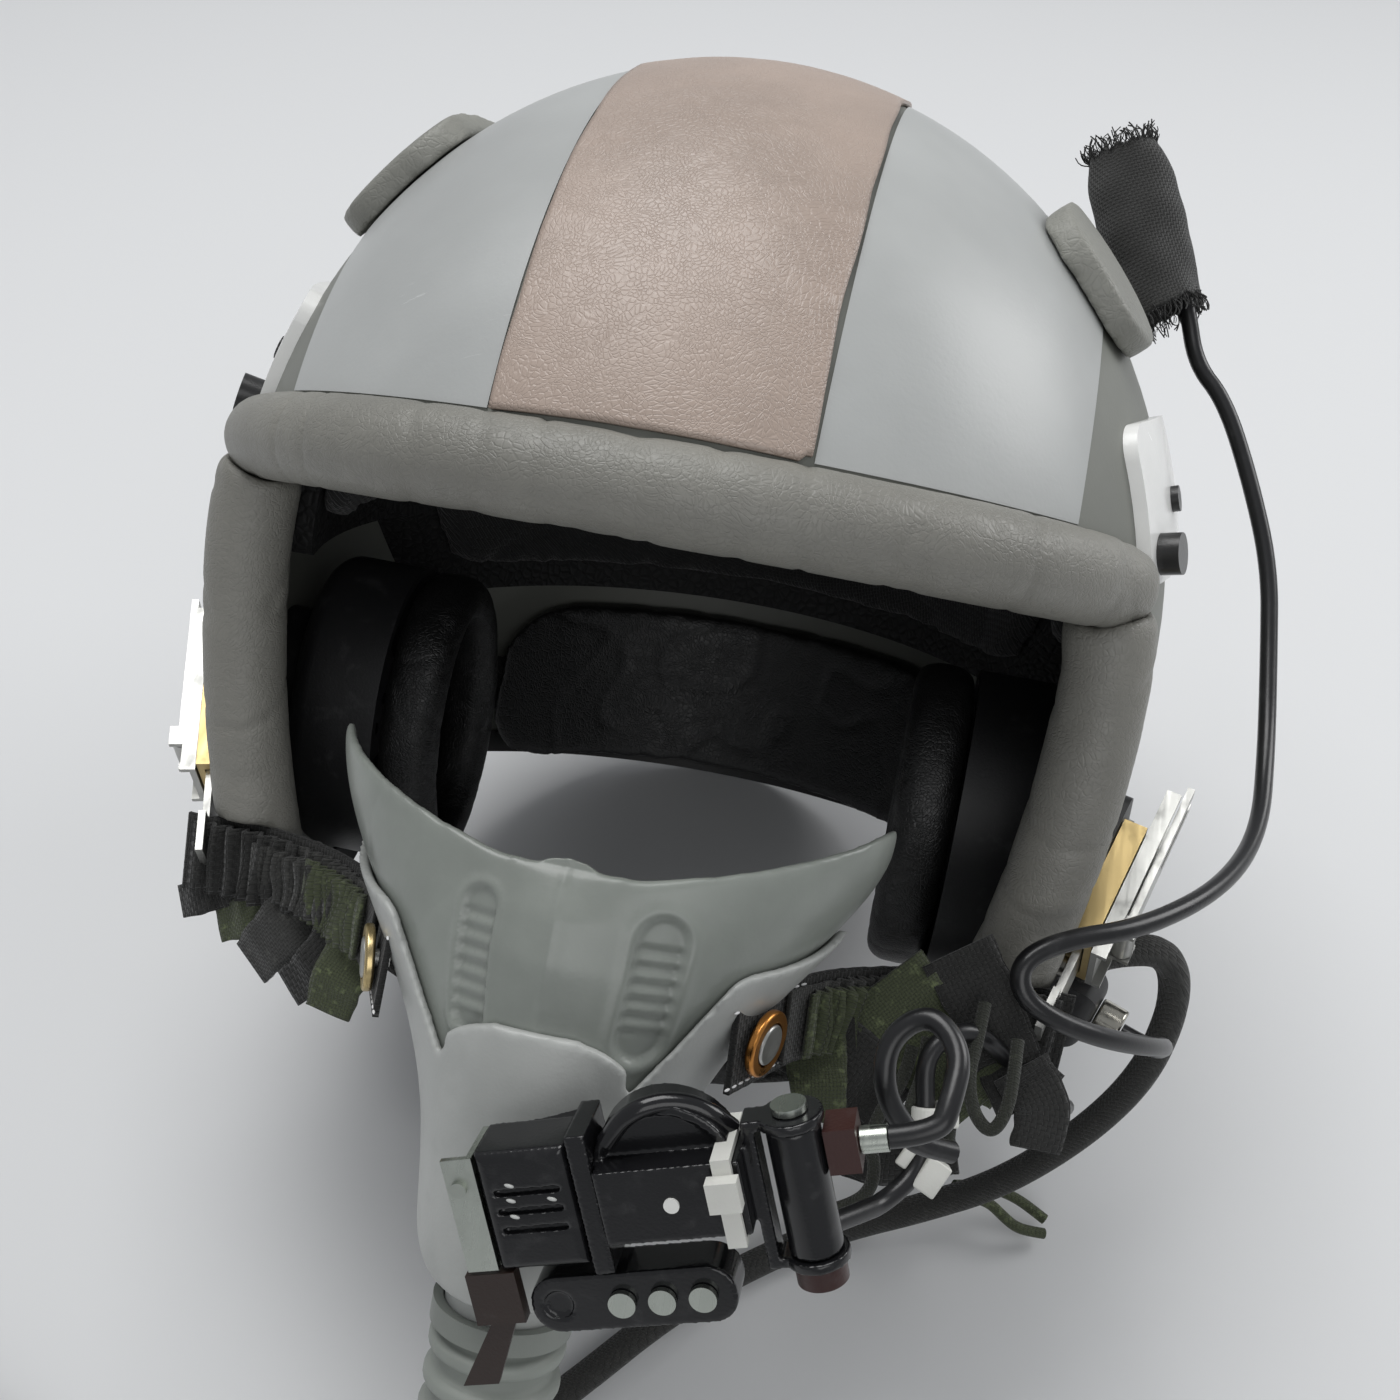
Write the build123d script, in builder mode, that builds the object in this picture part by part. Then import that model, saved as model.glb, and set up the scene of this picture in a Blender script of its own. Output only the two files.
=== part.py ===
"""Pilot flight helmet with its oxygen mask, leaning back on its nape and on its breathing hose.

Millimetres, +Z up, face towards -Y, +X the wearer's left. The helmet and mask are drawn upright, and each
finished piece is leaned back by REST_TILT and lifted on to the floor as it is written. Cords that lie on the
floor are drawn where they lie."""
import os
from math import asin, cos, degrees, pi, radians, sin, sqrt, tan

from build123d import *

os.makedirs("parts", exist_ok=True)

# How the helmet rests
REST_TILT = 30.0
REST_LIFT = 54.9
STAND_X = 0.0
STAND_Y = -20.76

# Shell
SHELL_HALF_WIDTH = 124.0
SHELL_HALF_LENGTH = 141.0
SHELL_SHIFT = 6.0
WIDEST_LEVEL = 112.0
CROWN_RISE = 136.0
LOWER_DRAW = 215.0
SHELL_WALL = 3.0
LOBE_FRONT = -66.0
LOBE_CORNER = 20.0
LOBE_BACK = 18.0
EAR_NOTCH_Y = 58.0
EAR_NOTCH_LEVEL = 24.0
NAPE_Y = 150.0
NAPE_LEVEL = 12.0
NOTCH_RADIUS = 22.0
TEMPLE_LEVEL = 143.0
TEMPLE_RADIUS = 12.0
BROW_LEVEL = 158.0

# Gaps and cut overruns
SEAT_GAP = 0.3
RUN_GAP = 0.4
OVERRUN = 20.0

# Rim bead and edge rolls
BEAD_WALL = 1.2
BEAD_DEPTH = 6.0
ROLL_RADIUS = 10.5
SIDE_ROLL_FOOT = 9.0
BEAD_STOP = 3.0

# Liners
FOAM_WALL = 14.0
FOAM_FRONT = -46.0
FOAM_LEVEL = 108.0
FOAM_EAR_BACK = 46.0
FOAM_NAPE_Y = 64.0
FOAM_NAPE_LEVEL = 80.0
FOAM_BROW_RISE = 13.0
COMFORT_WALL = 8.0
COMFORT_INSET = 10.0
LINER_CORNER = 14.0

# Ear cups, seals and earphones
CUP_Y = -2.0
CUP_LEVEL = 58.0
CUP_HALF_HEIGHT = 44.0
CUP_HALF_LENGTH = 33.0
CUP_WALL = 2.5
CUP_OUTER_X = 106.0
CUP_INNER_X = 80.0
SEAL_DEPTH = 17.0
SEAL_BAND = 13.0
SEAL_ROUND = 6.0
EARPHONE_RADIUS = 19.0
EARPHONE_DEPTH = 11.0
EARPHONE_PORTS = 6
EARPHONE_PORT_RADIUS = 2.0
SPACER_HALF_LENGTH = 20.0
SPACER_HALF_HEIGHT = 26.0

# Nape pad, nape straps and chin strap
NAPE_PAD_LOW = 19.0
NAPE_PAD_HIGH = 72.0
NAPE_PAD_HALF = 78.0
NAPE_PAD_THICK = 11.0
NAPE_PAD_CORNER = 18.0
WEB_THICK = 1.8
NAPE_WEB_LOW = 34.0
NAPE_WEB_HIGH = 52.0
CHIN_WEB_WIDTH = 18.0
CHIN_WEB_Y = -34.0
CHIN_WEB_TOP = 16.0
CHIN_WEB_DROP = 34.0
CHIN_PAD_WIDTH = 30.0
CHIN_PAD_THICK = 7.0
CHIN_PAD_LENGTH = 76.0
SNAP_RADIUS = 6.5
SNAP_HEIGHT = 2.5

# Coverings on the shell
PATCH_THICK = 1.6
PATCH_HALF_WIDTH = 33.0
PATCH_SHIFT = 1.0
PATCH_BACK = 96.0
TAPE_THICK = 0.5
TAPE_OUTER = 90.0
TAPE_BACK = 70.0
TAPE_GAP = 0.4
PAD_THICK = 7.0
PAD_Y = 6.0
PAD_LEVEL = 208.0
PAD_LENGTH = 88.0
PAD_HEIGHT = 40.0
PAD_CORNER = 14.0
PLATE_THICK = 3.2
PLATE_Y = -28.0
PLATE_LEVEL = 160.0
PLATE_LENGTH = 54.0
PLATE_HEIGHT = 38.0
PLATE_CORNER = 8.0
PLATE_SCREW_RADIUS = 3.2
PLATE_SCREW_HEAD = 1.8
STUD_RADIUS = 5.0
STUD_HEIGHT = 5.0

# Mask receivers on the lobes
RECEIVER_Y = -43.0
RECEIVER_LEVEL = 61.0
RECEIVER_TURN_IN = 0.43
BASE_LENGTH = 50.0
BASE_WIDTH = 25.0
BASE_HEIGHT = 4.0
BASE_ROOT = 9.0
BASE_CORNER = 4.0
BODY_LENGTH = 36.0
BODY_WIDTH = 21.0
BODY_HEIGHT = 6.0
CHANNEL_WIDTH = 14.6
CHANNEL_HEIGHT = 2.6
CHANNEL_FLOOR = 1.7
CHANNEL_STOP = 2.4
RAIL_LENGTH = 50.0
RAIL_WIDTH = 19.0
RAIL_THICK = 1.6
RAIL_LIP = 2.2
RAIL_SLOT_WIDTH = 6.0
RAIL_SLOT_LENGTH = 34.0
RAIL_SHIFT = 6.0
LEVER_LENGTH = 44.0
LEVER_WIDTH = 12.0
LEVER_THICK = 1.8
LEVER_LIFT = 3.4
LEVER_PIVOT = -8.0
LEVER_SLOT_WIDTH = 3.4
LEVER_SLOT_LENGTH = 22.0
LEVER_EYE_RADIUS = 2.7
PIVOT_RADIUS = 1.2
CHEEK_THICK = 1.6
SCREW_HEAD_RADIUS = 2.6
SCREW_HEAD_HEIGHT = 1.4
SCREW_SPREAD = 21.2

# Bayonets
BLADE_WIDTH = 14.0
BLADE_THICK = 1.8
BLADE_INSIDE = 26.0
BLADE_OUTSIDE = 14.0
BLADE_NOTCHES = 4
NOTCH_PITCH = 4.0
NOTCH_DEPTH = 1.6
TAIL_LENGTH = 11.0
TAIL_WIDTH = 24.0
TAIL_SLOT_WIDTH = 18.0
TAIL_SLOT_LENGTH = 4.0

# Mask form, as sections from the neck up
NECK_LEVEL = -12.0
MASK_TOP = 90.0
MASK_HALF_WIDTH = 70.0
MASK_REACH = 138.0
MASK_WALL = 2.4
FACE_WALL = 2.6
MASK_BACK_TOP = -99.0
MASK_BACK_LOW = -86.0
MASK_CUP_LEVEL = 4.0
LEVEL_SHARES = (0.0, 0.22, 0.46, 0.72, 1.0)
HALF_WIDTH_SHARES = (0.27, 0.42, 0.58, 0.86, 1.0)
FRONT_SHARES = (1.15, 1.145, 1.105, 1.055, 0.985)
CENTRE_SHARES = (1.0, 0.80, 0.70, 0.62, 0.58)
NECK_RADIUS = 13.0
NECK_BORE = 9.5
NECK_LENGTH = 13.0
NECK_LEAN = 11.0
NECK_Y = -142.0
NECK_RING_RADIUS = 15.5
NECK_RING_LENGTH = 5.0
TONGUE_HALF = 9.5
TONGUE_LEVEL = 47.0
NOTCH_HALF = 16.0
NOTCH_LOW = 30.0
LOBE_RISE_X = 27.0
LOBE_RISE_LEVEL = 44.0
LOBE_PEAK_X = 38.0
LOBE_PEAK_LEVEL = 60.0
LOBE_END_LEVEL = 57.0
FACE_TIP_X = 62.0
FACE_TIP_LEVEL = 86.0
FACE_DIP_X = 16.0
FACE_NOSE_LEVEL = 79.0
FACE_OVERLAP = 5.0
EDGE_ROUND = 6.0
EDGE_TIGHT = 2.0
EDGE_SOFT = 12.0
NOSE_RIDGE_RADIUS = 7.0
NOSE_TOP_Y = -132.5
NOSE_TOP_LEVEL = 78.0
NOSE_FOOT_Y = -145.0
NOSE_FOOT_LEVEL = 50.0

# Mask screws and rings
MASK_SCREW_TURN = 28.0
MASK_SCREW_LEVEL = 42.0
RING_OUTER = 7.5
RING_INNER = 5.0
RING_THICK = 2.2
MASK_SCREW_RADIUS = 4.6
MASK_SCREW_HEAD = 2.6
MASK_SCREW_SHANK = 2.0

# Straps from the bayonets to the mask screws
STRAP_WIDTH = 20.0
STRAP_THICK = 3.0
STRAP_LIFT = 0.6
STRAP_END = 10.0
STRAP_STAND = 5.5

# Valves and microphone in the mask
VALVE_RADIUS = 11.0
VALVE_THICK = 1.0
VALVE_STEM = 1.6
VALVE_STEM_LENGTH = 7.0
SEAT_RADIUS = 14.0
SEAT_THICK = 3.0
SEAT_BORE = 9.0
SPIDER_ARMS = 3
SPIDER_ARM_WIDTH = 2.4
HUB_RADIUS = 3.2
EXHALE_LEVEL = 16.0
EXHALE_Y = -124.0
INHALE_Y = -138.0
INHALE_GUIDE = 0.5
VALVE_PLAY = 0.8
MIC_LEVEL = 46.0
MIC_Y = -137.0
MIC_RADIUS = 10.0
MIC_PORT_RADIUS = 1.3
MIC_PORT_DEPTH = 2.0

# Unit on the mask front
UNIT_X = 30.0
UNIT_LEVEL = 33.0
UNIT_BACK_Y = -163.0
UNIT_TURN = 20.0
BOX_LENGTH = 18.0
BOX_HEIGHT = 25.0
BOX_DEPTH = 12.0
BOX_SHIFT = -22.0
BOX_CORNER = 1.5
LOUVRE_COUNT = 3
LOUVRE_PITCH = 4.0
LOUVRE_LENGTH = 13.0
LOUVRE_WIDTH = 1.3
LOUVRE_DEPTH = 1.5
CLIP_WIDTH = 4.0
CLIP_HEIGHT = 29.0
CLIP_WALL = 1.6
HEAD_LENGTH = 28.0
HEAD_HEIGHT = 15.0
HEAD_DEPTH = 14.0
HEAD_SHIFT = 6.0
DOME_RADIUS = 14.0
DOME_DEPTH = 9.0
DOME_RIM = 2.0
DOME_RISE = 3.5
DOME_BACK = 1.5
DOME_SINK = 1.2
DOT_RADIUS = 1.5
DOT_HEIGHT = 0.5
BAR_LENGTH = 41.0
BAR_HEIGHT = 12.0
BAR_DEPTH = 9.0
BAR_SHIFT = -7.0
BAR_DROP = 22.0
BAR_BACK = 1.0
BAR_END = 5.5
BAR_SCREWS = 3
BAR_SCREW_PITCH = 8.0
BAR_SCREW_SHIFT = 6.0
BAR_SCREW_RADIUS = 2.7
BAR_SCREW_HEAD = 1.2
DIMPLE_RADIUS = 3.0
DIMPLE_DEPTH = 0.8
TUBE_SHIFT = 29.5
TUBE_RADIUS = 5.2
TUBE_RISE = -3.0
TUBE_DEPTH = 6.0
HINGE_WEB = 2.4
HINGE_HEAD_HEIGHT = 1.4
TUBE_HEIGHT = 26.0
TUBE_EAR_THICK = 2.0
TUBE_EAR_RADIUS = 6.2
HINGE_PIN_RADIUS = 2.1
HINGE_PIN_HEAD = 3.4
FOOT_HEIGHT = 4.0
FOOT_RADIUS = 5.0
FERRULE_BOX_LENGTH = 6.0
FERRULE_BOX_HEIGHT = 9.0
FERRULE_BOX_DEPTH = 8.0
FERRULE_RISE = 4.0
FERRULE_RADIUS = 2.6
FERRULE_LENGTH = 5.0
BRACKET_THICK = 1.2
BRACKET_WIDTH = 5.0
BRACKET_HEIGHT = 24.0
RIVET_RADIUS = 1.6
RIVET_HEIGHT = 0.9
HANGER_WIDTH = 12.0
HANGER_SHIFT = 2.0
HANGER_REACH = 26.0
BUCKLE_WIDTH = 10.0
BUCKLE_HEIGHT = 11.0
BUCKLE_DEPTH = 3.0
BUCKLE_FRAME = 1.6
STRAP_TIP_SHIFT = 7.0
STRAP_TIP_DROP = 14.0
ZIP_WIDTH = 3.6
ZIP_THICK = 1.2
ZIP_HEAD = 6.0

# Sleeve on its strap, and the connector on the left lobe
SLEEVE_RADIUS = 13.0
SLEEVE_WALL = 2.2
SLEEVE_BASE = (113.0, 62.0, 202.0)
SLEEVE_TOP = (94.0, 76.0, 246.0)
SLEEVE_STRAP_WIDTH = 16.0
SLEEVE_STRAP_THICK = 2.0
SLEEVE_STRAP_INSET = 6.0
SLEEVE_STRAP_FOOT = 24.0
SLEEVE_STRAP_DEPTH = 26.0
STRAP_FOOT_Y = 60.0
STRAP_FOOT_LEVEL = 148.0
SLIM_INSET = 8.2
COMM_Y = -38.0
COMM_LEVEL = 31.0
COMM_LENGTH = 18.0
COMM_WIDTH = 16.0
COMM_HEIGHT = 17.0
COMM_ROUND = 4.0
NUT_RADIUS = 5.6
NUT_LENGTH = 7.0
GROMMET_WALL = 1.6

# Cords
SLIM_CABLE = 4.8
MAIN_CABLE = 8.4
MAIN_ENTRY = 4.0
LOOP_CABLE = 4.4
SLIM_POINTS = (
    (126.0, 61.0, 190.0),
    (136.0, 56.0, 181.0),
    (147.0, 48.0, 160.0),
    (156.0, 38.0, 138.0),
    (159.0, 26.0, 116.0),
    (161.0, 8.0, 92.0),
    (158.0, -20.0, 77.0),
    (145.0, -51.0, 71.0),
    (124.0, -77.0, 67.0),
    (106.0, -88.0, 65.0),
    (97.0, -93.0, 60.0),
    (98.0, -95.0, 53.0),
    (106.0, -94.0, 48.0),
    (119.0, -88.0, 43.0),
    (132.0, -75.0, 37.0),
    (140.0, -60.0, 31.0),
)
LOOP_LOW_POINTS = (
    (119.0, -53.0, 5.0),
    (119.0, -68.0, 13.0),
    (110.0, -84.0, 23.0),
    (98.0, -95.0, 37.0),
    (88.0, -102.0, 46.0),
    (79.0, -108.0, 41.0),
    (82.0, -112.0, 28.0),
    (83.0, -117.0, 17.0),
    (76.0, -124.0, 11.0),
    (66.0, -138.0, 13.0),
)
LOOP_LOW_WAY = (-0.6, -0.8, 0.1)
LOOP_HIGH_WAY = (0.8, 0.5, -0.3)
LOOP_HIGH_POINTS = (
    (82.0, -164.0, 60.0),
    (83.0, -156.0, 67.0),
    (76.0, -150.0, 71.0),
    (69.0, -151.0, 64.0),
    (70.0, -154.0, 54.0),
    (77.0, -152.0, 45.0),
    (86.0, -146.0, 40.0),
)
MAIN_UPPER_POINTS = (
    (129.0, -36.0, 44.0),
    (139.0, -31.0, 44.0),
    (145.0, -27.0, 36.0),
    (147.0, -24.0, 22.0),
    (144.0, -22.0, 2.0),
)
MAIN_POINTS = (
    (133.0, -26.0, 46.0),
    (114.0, -36.0, 26.0),
    (93.0, -42.0, 12.0),
    (74.0, -49.0, 5.7),
    (58.0, -59.0, 5.1),
    (30.0, -83.0, 5.1),
    (4.0, -117.0, 5.1),
    (-22.0, -146.0, 5.1),
    (-60.0, -166.0, 5.1),
    (-104.0, -170.0, 5.1),
)
MAIN_END = (-140.0, -162.0, 8.6)
PLUG_RADIUS = 8.5
PLUG_LENGTH = 36.0
PLUG_GROOVES = 3
PLUG_GROOVE = 1.2
PLUG_TIP_RADIUS = 5.2
PLUG_TIP_LENGTH = 13.0
RELIEF_RADIUS = 6.2
RELIEF_LENGTH = 16.0

# Breathing hose, drawn where it lies, and its end piece
HOSE_CREST = 15.0
HOSE_VALLEY = 12.4
HOSE_BORE = 9.5
HOSE_RIBS = 50
HOSE_TAPER_RIBS = 2
RIB_LAND_SHARES = (0.0, 0.3, 0.7)
HOSE_POINTS = (
    (0.0, -164.1, 74.7),
    (1.0, -193.0, 46.0),
    (7.0, -226.0, 25.0),
    (22.0, -260.0, 16.8),
    (48.5, -290.5, 15.9),
    (83.1, -310.5, 15.9),
    (122.2, -318.8, 15.9),
    (162.0, -314.6, 15.9),
    (198.5, -298.3, 15.9),
)
HOSE_END = (228.2, -271.5, 15.9)
END_LENGTH = 24.0
END_RADIUS = 14.6
COLLAR_RADIUS = 15.0
COLLAR_INNER = 12.6
COLLAR_LENGTH = 11.0
COLLAR_FLUTES = 12
FLUTE_RADIUS = 1.1
SPIGOT_RADIUS = 12.2
SPIGOT_LENGTH = 30.0
SPIGOT_LIP = 3.0
CORD_LEAD = 9.0
RUN_SHARE = 0.45
HOSE_LEAD = 12.0

REST = Location((STAND_X, STAND_Y, REST_LIFT), (-REST_TILT, 0, 0))
LYING = Location((STAND_X, STAND_Y, 0))
FAR_SIDE = SHELL_HALF_LENGTH + 2 * OVERRUN
TOP_SIDE = WIDEST_LEVEL + CROWN_RISE + OVERRUN
WIDE_SIDE = SHELL_HALF_WIDTH + 2 * OVERRUN
FRONT_END = SHELL_SHIFT - SHELL_HALF_LENGTH


def write(piece, node, place=REST):
    """Puts a finished piece where it rests, labels it and writes its file."""
    seated = piece.moved(place)
    seated.label = node
    export_step(seated, f"parts/{node}.step")
    return seated


def write_pair(piece, node):
    """Writes a piece of the left side and its mirror image as one node."""
    write(piece + mirror(piece, about=Plane.YZ), node)


def egg(grow):
    """Solid of the shell's outer form grown by a distance, widest at one level and domed above it."""
    wide = SHELL_HALF_WIDTH + grow
    deep = LOWER_DRAW + grow
    foot_angle = degrees(asin((WIDEST_LEVEL + OVERRUN) / deep))
    with BuildPart() as form:
        with BuildSketch(Plane.XZ):
            with BuildLine():
                crown = EllipticalCenterArc((0, WIDEST_LEVEL), wide, CROWN_RISE + grow, 0, arc_size=90)
                flank = EllipticalCenterArc((0, WIDEST_LEVEL), wide, deep, -foot_angle, arc_size=foot_angle)
                Polyline(flank @ 0, (0, (flank @ 0).Y), crown @ 1)
            make_face()
        revolve(axis=Axis.Z)
    stretch = (SHELL_HALF_LENGTH + grow) / wide
    return scale(form.part, by=(1, stretch, 1)).moved(Location((0, SHELL_SHIFT, 0)))


def rise_at(z, grow=0.0):
    """Vertical half axis of the shell form on the side of its widest level where z lies."""
    return (CROWN_RISE if z > WIDEST_LEVEL else LOWER_DRAW) + grow


def skin_x(y, z, grow=0.0):
    """Half width of the grown shell form at a place given from the side."""
    along = (y - SHELL_SHIFT) / (SHELL_HALF_LENGTH + grow)
    up = (z - WIDEST_LEVEL) / rise_at(z, grow)
    return (SHELL_HALF_WIDTH + grow) * sqrt(1 - along**2 - up**2)


def skin_plane(side, y, z, toward=(0, 0, 1), grow=0.0):
    """Plane that touches the shell form at a place given from the side, its normal pointing outwards."""
    x = skin_x(y, z, grow)
    normal = Vector(
        side * x / (SHELL_HALF_WIDTH + grow) ** 2,
        (y - SHELL_SHIFT) / (SHELL_HALF_LENGTH + grow) ** 2,
        (z - WIDEST_LEVEL) / rise_at(z, grow) ** 2,
    ).normalized()
    wanted = Vector(*toward)
    return Plane(origin=(side * x, y, z), x_dir=wanted - normal * wanted.dot(normal), z_dir=normal)


def brow_z(y):
    """Level of the brow edge, which climbs from the temple to the middle of the brow."""
    return TEMPLE_LEVEL + (BROW_LEVEL - TEMPLE_LEVEL) * (LOBE_FRONT - y) / (LOBE_FRONT - FRONT_END)


def prism(points, radii, reach=WIDE_SIDE):
    """Solid as wide as the helmet over an outline seen from the side."""
    with BuildPart() as block:
        with BuildSketch(Plane.YZ):
            with BuildLine():
                FilletPolyline(*points, radius=radii, close=True)
            make_face()
        extrude(amount=reach, both=True)
    return block.part


def side_block(front, brow_rise, rim_rise):
    """Solid whose side view is the shell's outline, its edges moved by the given distances."""
    nape_slope = (NAPE_LEVEL - EAR_NOTCH_LEVEL) / (NAPE_Y - EAR_NOTCH_Y)
    points = (
        (-FAR_SIDE, brow_z(-FAR_SIDE) + brow_rise),
        (front, brow_z(front) + brow_rise),
        (front, rim_rise),
        (LOBE_BACK, rim_rise),
        (EAR_NOTCH_Y, EAR_NOTCH_LEVEL + rim_rise),
        (FAR_SIDE, EAR_NOTCH_LEVEL + rim_rise + nape_slope * (FAR_SIDE - EAR_NOTCH_Y)),
        (FAR_SIDE, TOP_SIDE),
        (-FAR_SIDE, TOP_SIDE),
    )
    return prism(points, (0, TEMPLE_RADIUS, LOBE_CORNER, NOTCH_RADIUS, NOTCH_RADIUS, 0, 0, 0))


shell_form = egg(0)
inner_form = egg(-SHELL_WALL)

# The shell: one moulded wall, open at the face and below, with a lobe over each ear
with BuildPart() as helmet_shell:
    add(shell_form)
    add(inner_form, mode=Mode.SUBTRACT)
    add(side_block(LOBE_FRONT, 0, 0), mode=Mode.INTERSECT)
write(helmet_shell.part, "helmet_shell")

# Rubber bead that grips the lower rim, from one side roll round the nape to the other
bead_ring = egg(BEAD_WALL) - egg(-SHELL_WALL - BEAD_WALL)
bead_low = side_block(LOBE_FRONT - BEAD_WALL, 0, -BEAD_WALL)
bead_band = bead_low - side_block(LOBE_FRONT + BEAD_DEPTH, 0, BEAD_DEPTH)
with BuildPart() as rim_bead:
    add(bead_ring & bead_band)
    add(helmet_shell.part, mode=Mode.SUBTRACT)
    with Locations((0, -FAR_SIDE, SIDE_ROLL_FOOT - BEAD_STOP)):
        front_span = FAR_SIDE + LOBE_FRONT + ROLL_RADIUS + SEAT_GAP
        Box(
            2 * WIDE_SIDE, front_span, TOP_SIDE,
            align=(Align.CENTER, Align.MIN, Align.MIN), mode=Mode.SUBTRACT,
        )
write(rim_bead.part, "rim_bead")

# Padded edge roll over the brow: a tube along the shell's edge, with a slot that the shell sits in
brow_slope = (BROW_LEVEL - TEMPLE_LEVEL) / (LOBE_FRONT - FRONT_END)
brow_angle = Vector(0, 1, 0).get_angle(Vector(0, 1, brow_slope))
brow_cos = cos(radians(brow_angle))
brow_sin = sin(radians(brow_angle))
brow_back_level = brow_z(SHELL_SHIFT)
mid_wall = -SHELL_WALL / 2
brow_half = skin_x(SHELL_SHIFT, brow_back_level, mid_wall)
brow_up = (BROW_LEVEL - WIDEST_LEVEL) / (CROWN_RISE + mid_wall)
brow_reach = (SHELL_HALF_LENGTH + mid_wall) * sqrt(1 - brow_up**2) / brow_cos
brow_plane = Plane(origin=(0, SHELL_SHIFT, brow_back_level), x_dir=(1, 0, 0), z_dir=(0, -brow_sin, -brow_cos))
temple_along = (SHELL_SHIFT - LOBE_FRONT) / brow_cos
temple_angle = degrees(asin(temple_along / brow_reach))
with BuildLine(brow_plane) as brow_path:
    EllipticalCenterArc((0, 0), brow_half, brow_reach, temple_angle, arc_size=180 - 2 * temple_angle)
with BuildPart() as brow_roll:
    with BuildSketch(Plane(origin=brow_path.line @ 0, z_dir=brow_path.line % 0)):
        Circle(ROLL_RADIUS)
    sweep(path=brow_path.line)
    with Locations(brow_path.line @ 0, brow_path.line @ 1):
        Sphere(ROLL_RADIUS)
    add(helmet_shell.part, mode=Mode.SUBTRACT)
write(brow_roll.part, "brow_roll")

# Side rolls, down the front edge of each lobe, tucked under the brow roll
edge_share = sqrt(1 - ((LOBE_FRONT - SHELL_SHIFT) / (SHELL_HALF_LENGTH + mid_wall)) ** 2)
edge_half = (SHELL_HALF_WIDTH + mid_wall) * edge_share
edge_draw = (LOWER_DRAW + mid_wall) * edge_share
edge_rise = (CROWN_RISE + mid_wall) * edge_share
foot_sweep = degrees(asin((WIDEST_LEVEL - SIDE_ROLL_FOOT) / edge_draw))
head_sweep = degrees(asin((TEMPLE_LEVEL - ROLL_RADIUS - WIDEST_LEVEL) / edge_rise))
edge_plane = Plane(origin=(0, LOBE_FRONT, 0), x_dir=(1, 0, 0), z_dir=(0, -1, 0))
with BuildLine(edge_plane) as edge_path:
    EllipticalCenterArc((0, WIDEST_LEVEL), edge_half, edge_draw, -foot_sweep, arc_size=foot_sweep)
    EllipticalCenterArc((0, WIDEST_LEVEL), edge_half, edge_rise, 0, arc_size=head_sweep)
with BuildPart() as side_roll:
    with BuildSketch(Plane(origin=edge_path.line @ 0, z_dir=edge_path.line % 0)):
        Circle(ROLL_RADIUS)
    sweep(path=edge_path.line)
    with Locations(edge_path.line @ 1):
        Sphere(ROLL_RADIUS)
    add(helmet_shell.part, mode=Mode.SUBTRACT)
    add(brow_roll.part, mode=Mode.SUBTRACT)

# Foam liner against the shell, cut high over the ears and lower at the nape
liner_points = (
    (-FAR_SIDE, brow_z(-FAR_SIDE) + FOAM_BROW_RISE),
    (FOAM_FRONT, brow_z(FOAM_FRONT) + FOAM_BROW_RISE),
    (FOAM_FRONT, FOAM_LEVEL),
    (FOAM_EAR_BACK, FOAM_LEVEL),
    (FOAM_NAPE_Y, FOAM_NAPE_LEVEL),
    (FAR_SIDE, FOAM_NAPE_LEVEL),
    (FAR_SIDE, TOP_SIDE),
    (-FAR_SIDE, TOP_SIDE),
)
liner_radii = (0, TEMPLE_RADIUS, LINER_CORNER, LINER_CORNER, LINER_CORNER, 0, 0, 0)
foam_outer = -SHELL_WALL - SEAT_GAP
foam_inner = foam_outer - FOAM_WALL
foam_hollow = egg(foam_inner)
foam_liner = (egg(foam_outer) - foam_hollow) & prism(liner_points, liner_radii)
write(foam_liner, "foam_liner")

# Comfort liner inside the foam, its lower edge set in from the foam's
comfort_points = [(y, z) for y, z in liner_points]
comfort_points[0] = (-FAR_SIDE, brow_z(-FAR_SIDE) + FOAM_BROW_RISE + COMFORT_INSET)
comfort_front = FOAM_FRONT + COMFORT_INSET
comfort_points[1] = (comfort_front, brow_z(comfort_front) + FOAM_BROW_RISE + COMFORT_INSET)
comfort_points[2] = (FOAM_FRONT + COMFORT_INSET, FOAM_LEVEL + COMFORT_INSET)
comfort_points[3] = (FOAM_EAR_BACK, FOAM_LEVEL + COMFORT_INSET)
comfort_points[4] = (FOAM_NAPE_Y, FOAM_NAPE_LEVEL + COMFORT_INSET)
comfort_points[5] = (FAR_SIDE, FOAM_NAPE_LEVEL + COMFORT_INSET)
comfort_outer = foam_inner - SEAT_GAP
comfort_liner = (egg(comfort_outer) - egg(comfort_outer - COMFORT_WALL)) & prism(comfort_points, liner_radii)
write(comfort_liner, "comfort_liner")


def ear_section(x, trim=0.0):
    """Oval of the ear cup, drawn smaller by a trim, on the plane at a distance from the middle."""
    with BuildSketch(Plane.YZ.offset(x)) as section:
        with Locations((CUP_Y, CUP_LEVEL)):
            Ellipse(CUP_HALF_LENGTH - trim, CUP_HALF_HEIGHT - trim)
    return section.sketch


# Ear cup: a shallow oval bowl, open towards the ear
with BuildPart() as earcup:
    extrude(ear_section(CUP_INNER_X), amount=CUP_OUTER_X - CUP_INNER_X)
    fillet(earcup.edges().sort_by(Axis.X)[-1], radius=SEAL_ROUND)
    cup_hollow = CUP_OUTER_X - CUP_INNER_X - CUP_WALL
    extrude(ear_section(CUP_INNER_X, CUP_WALL), amount=cup_hollow, mode=Mode.SUBTRACT)

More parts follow.
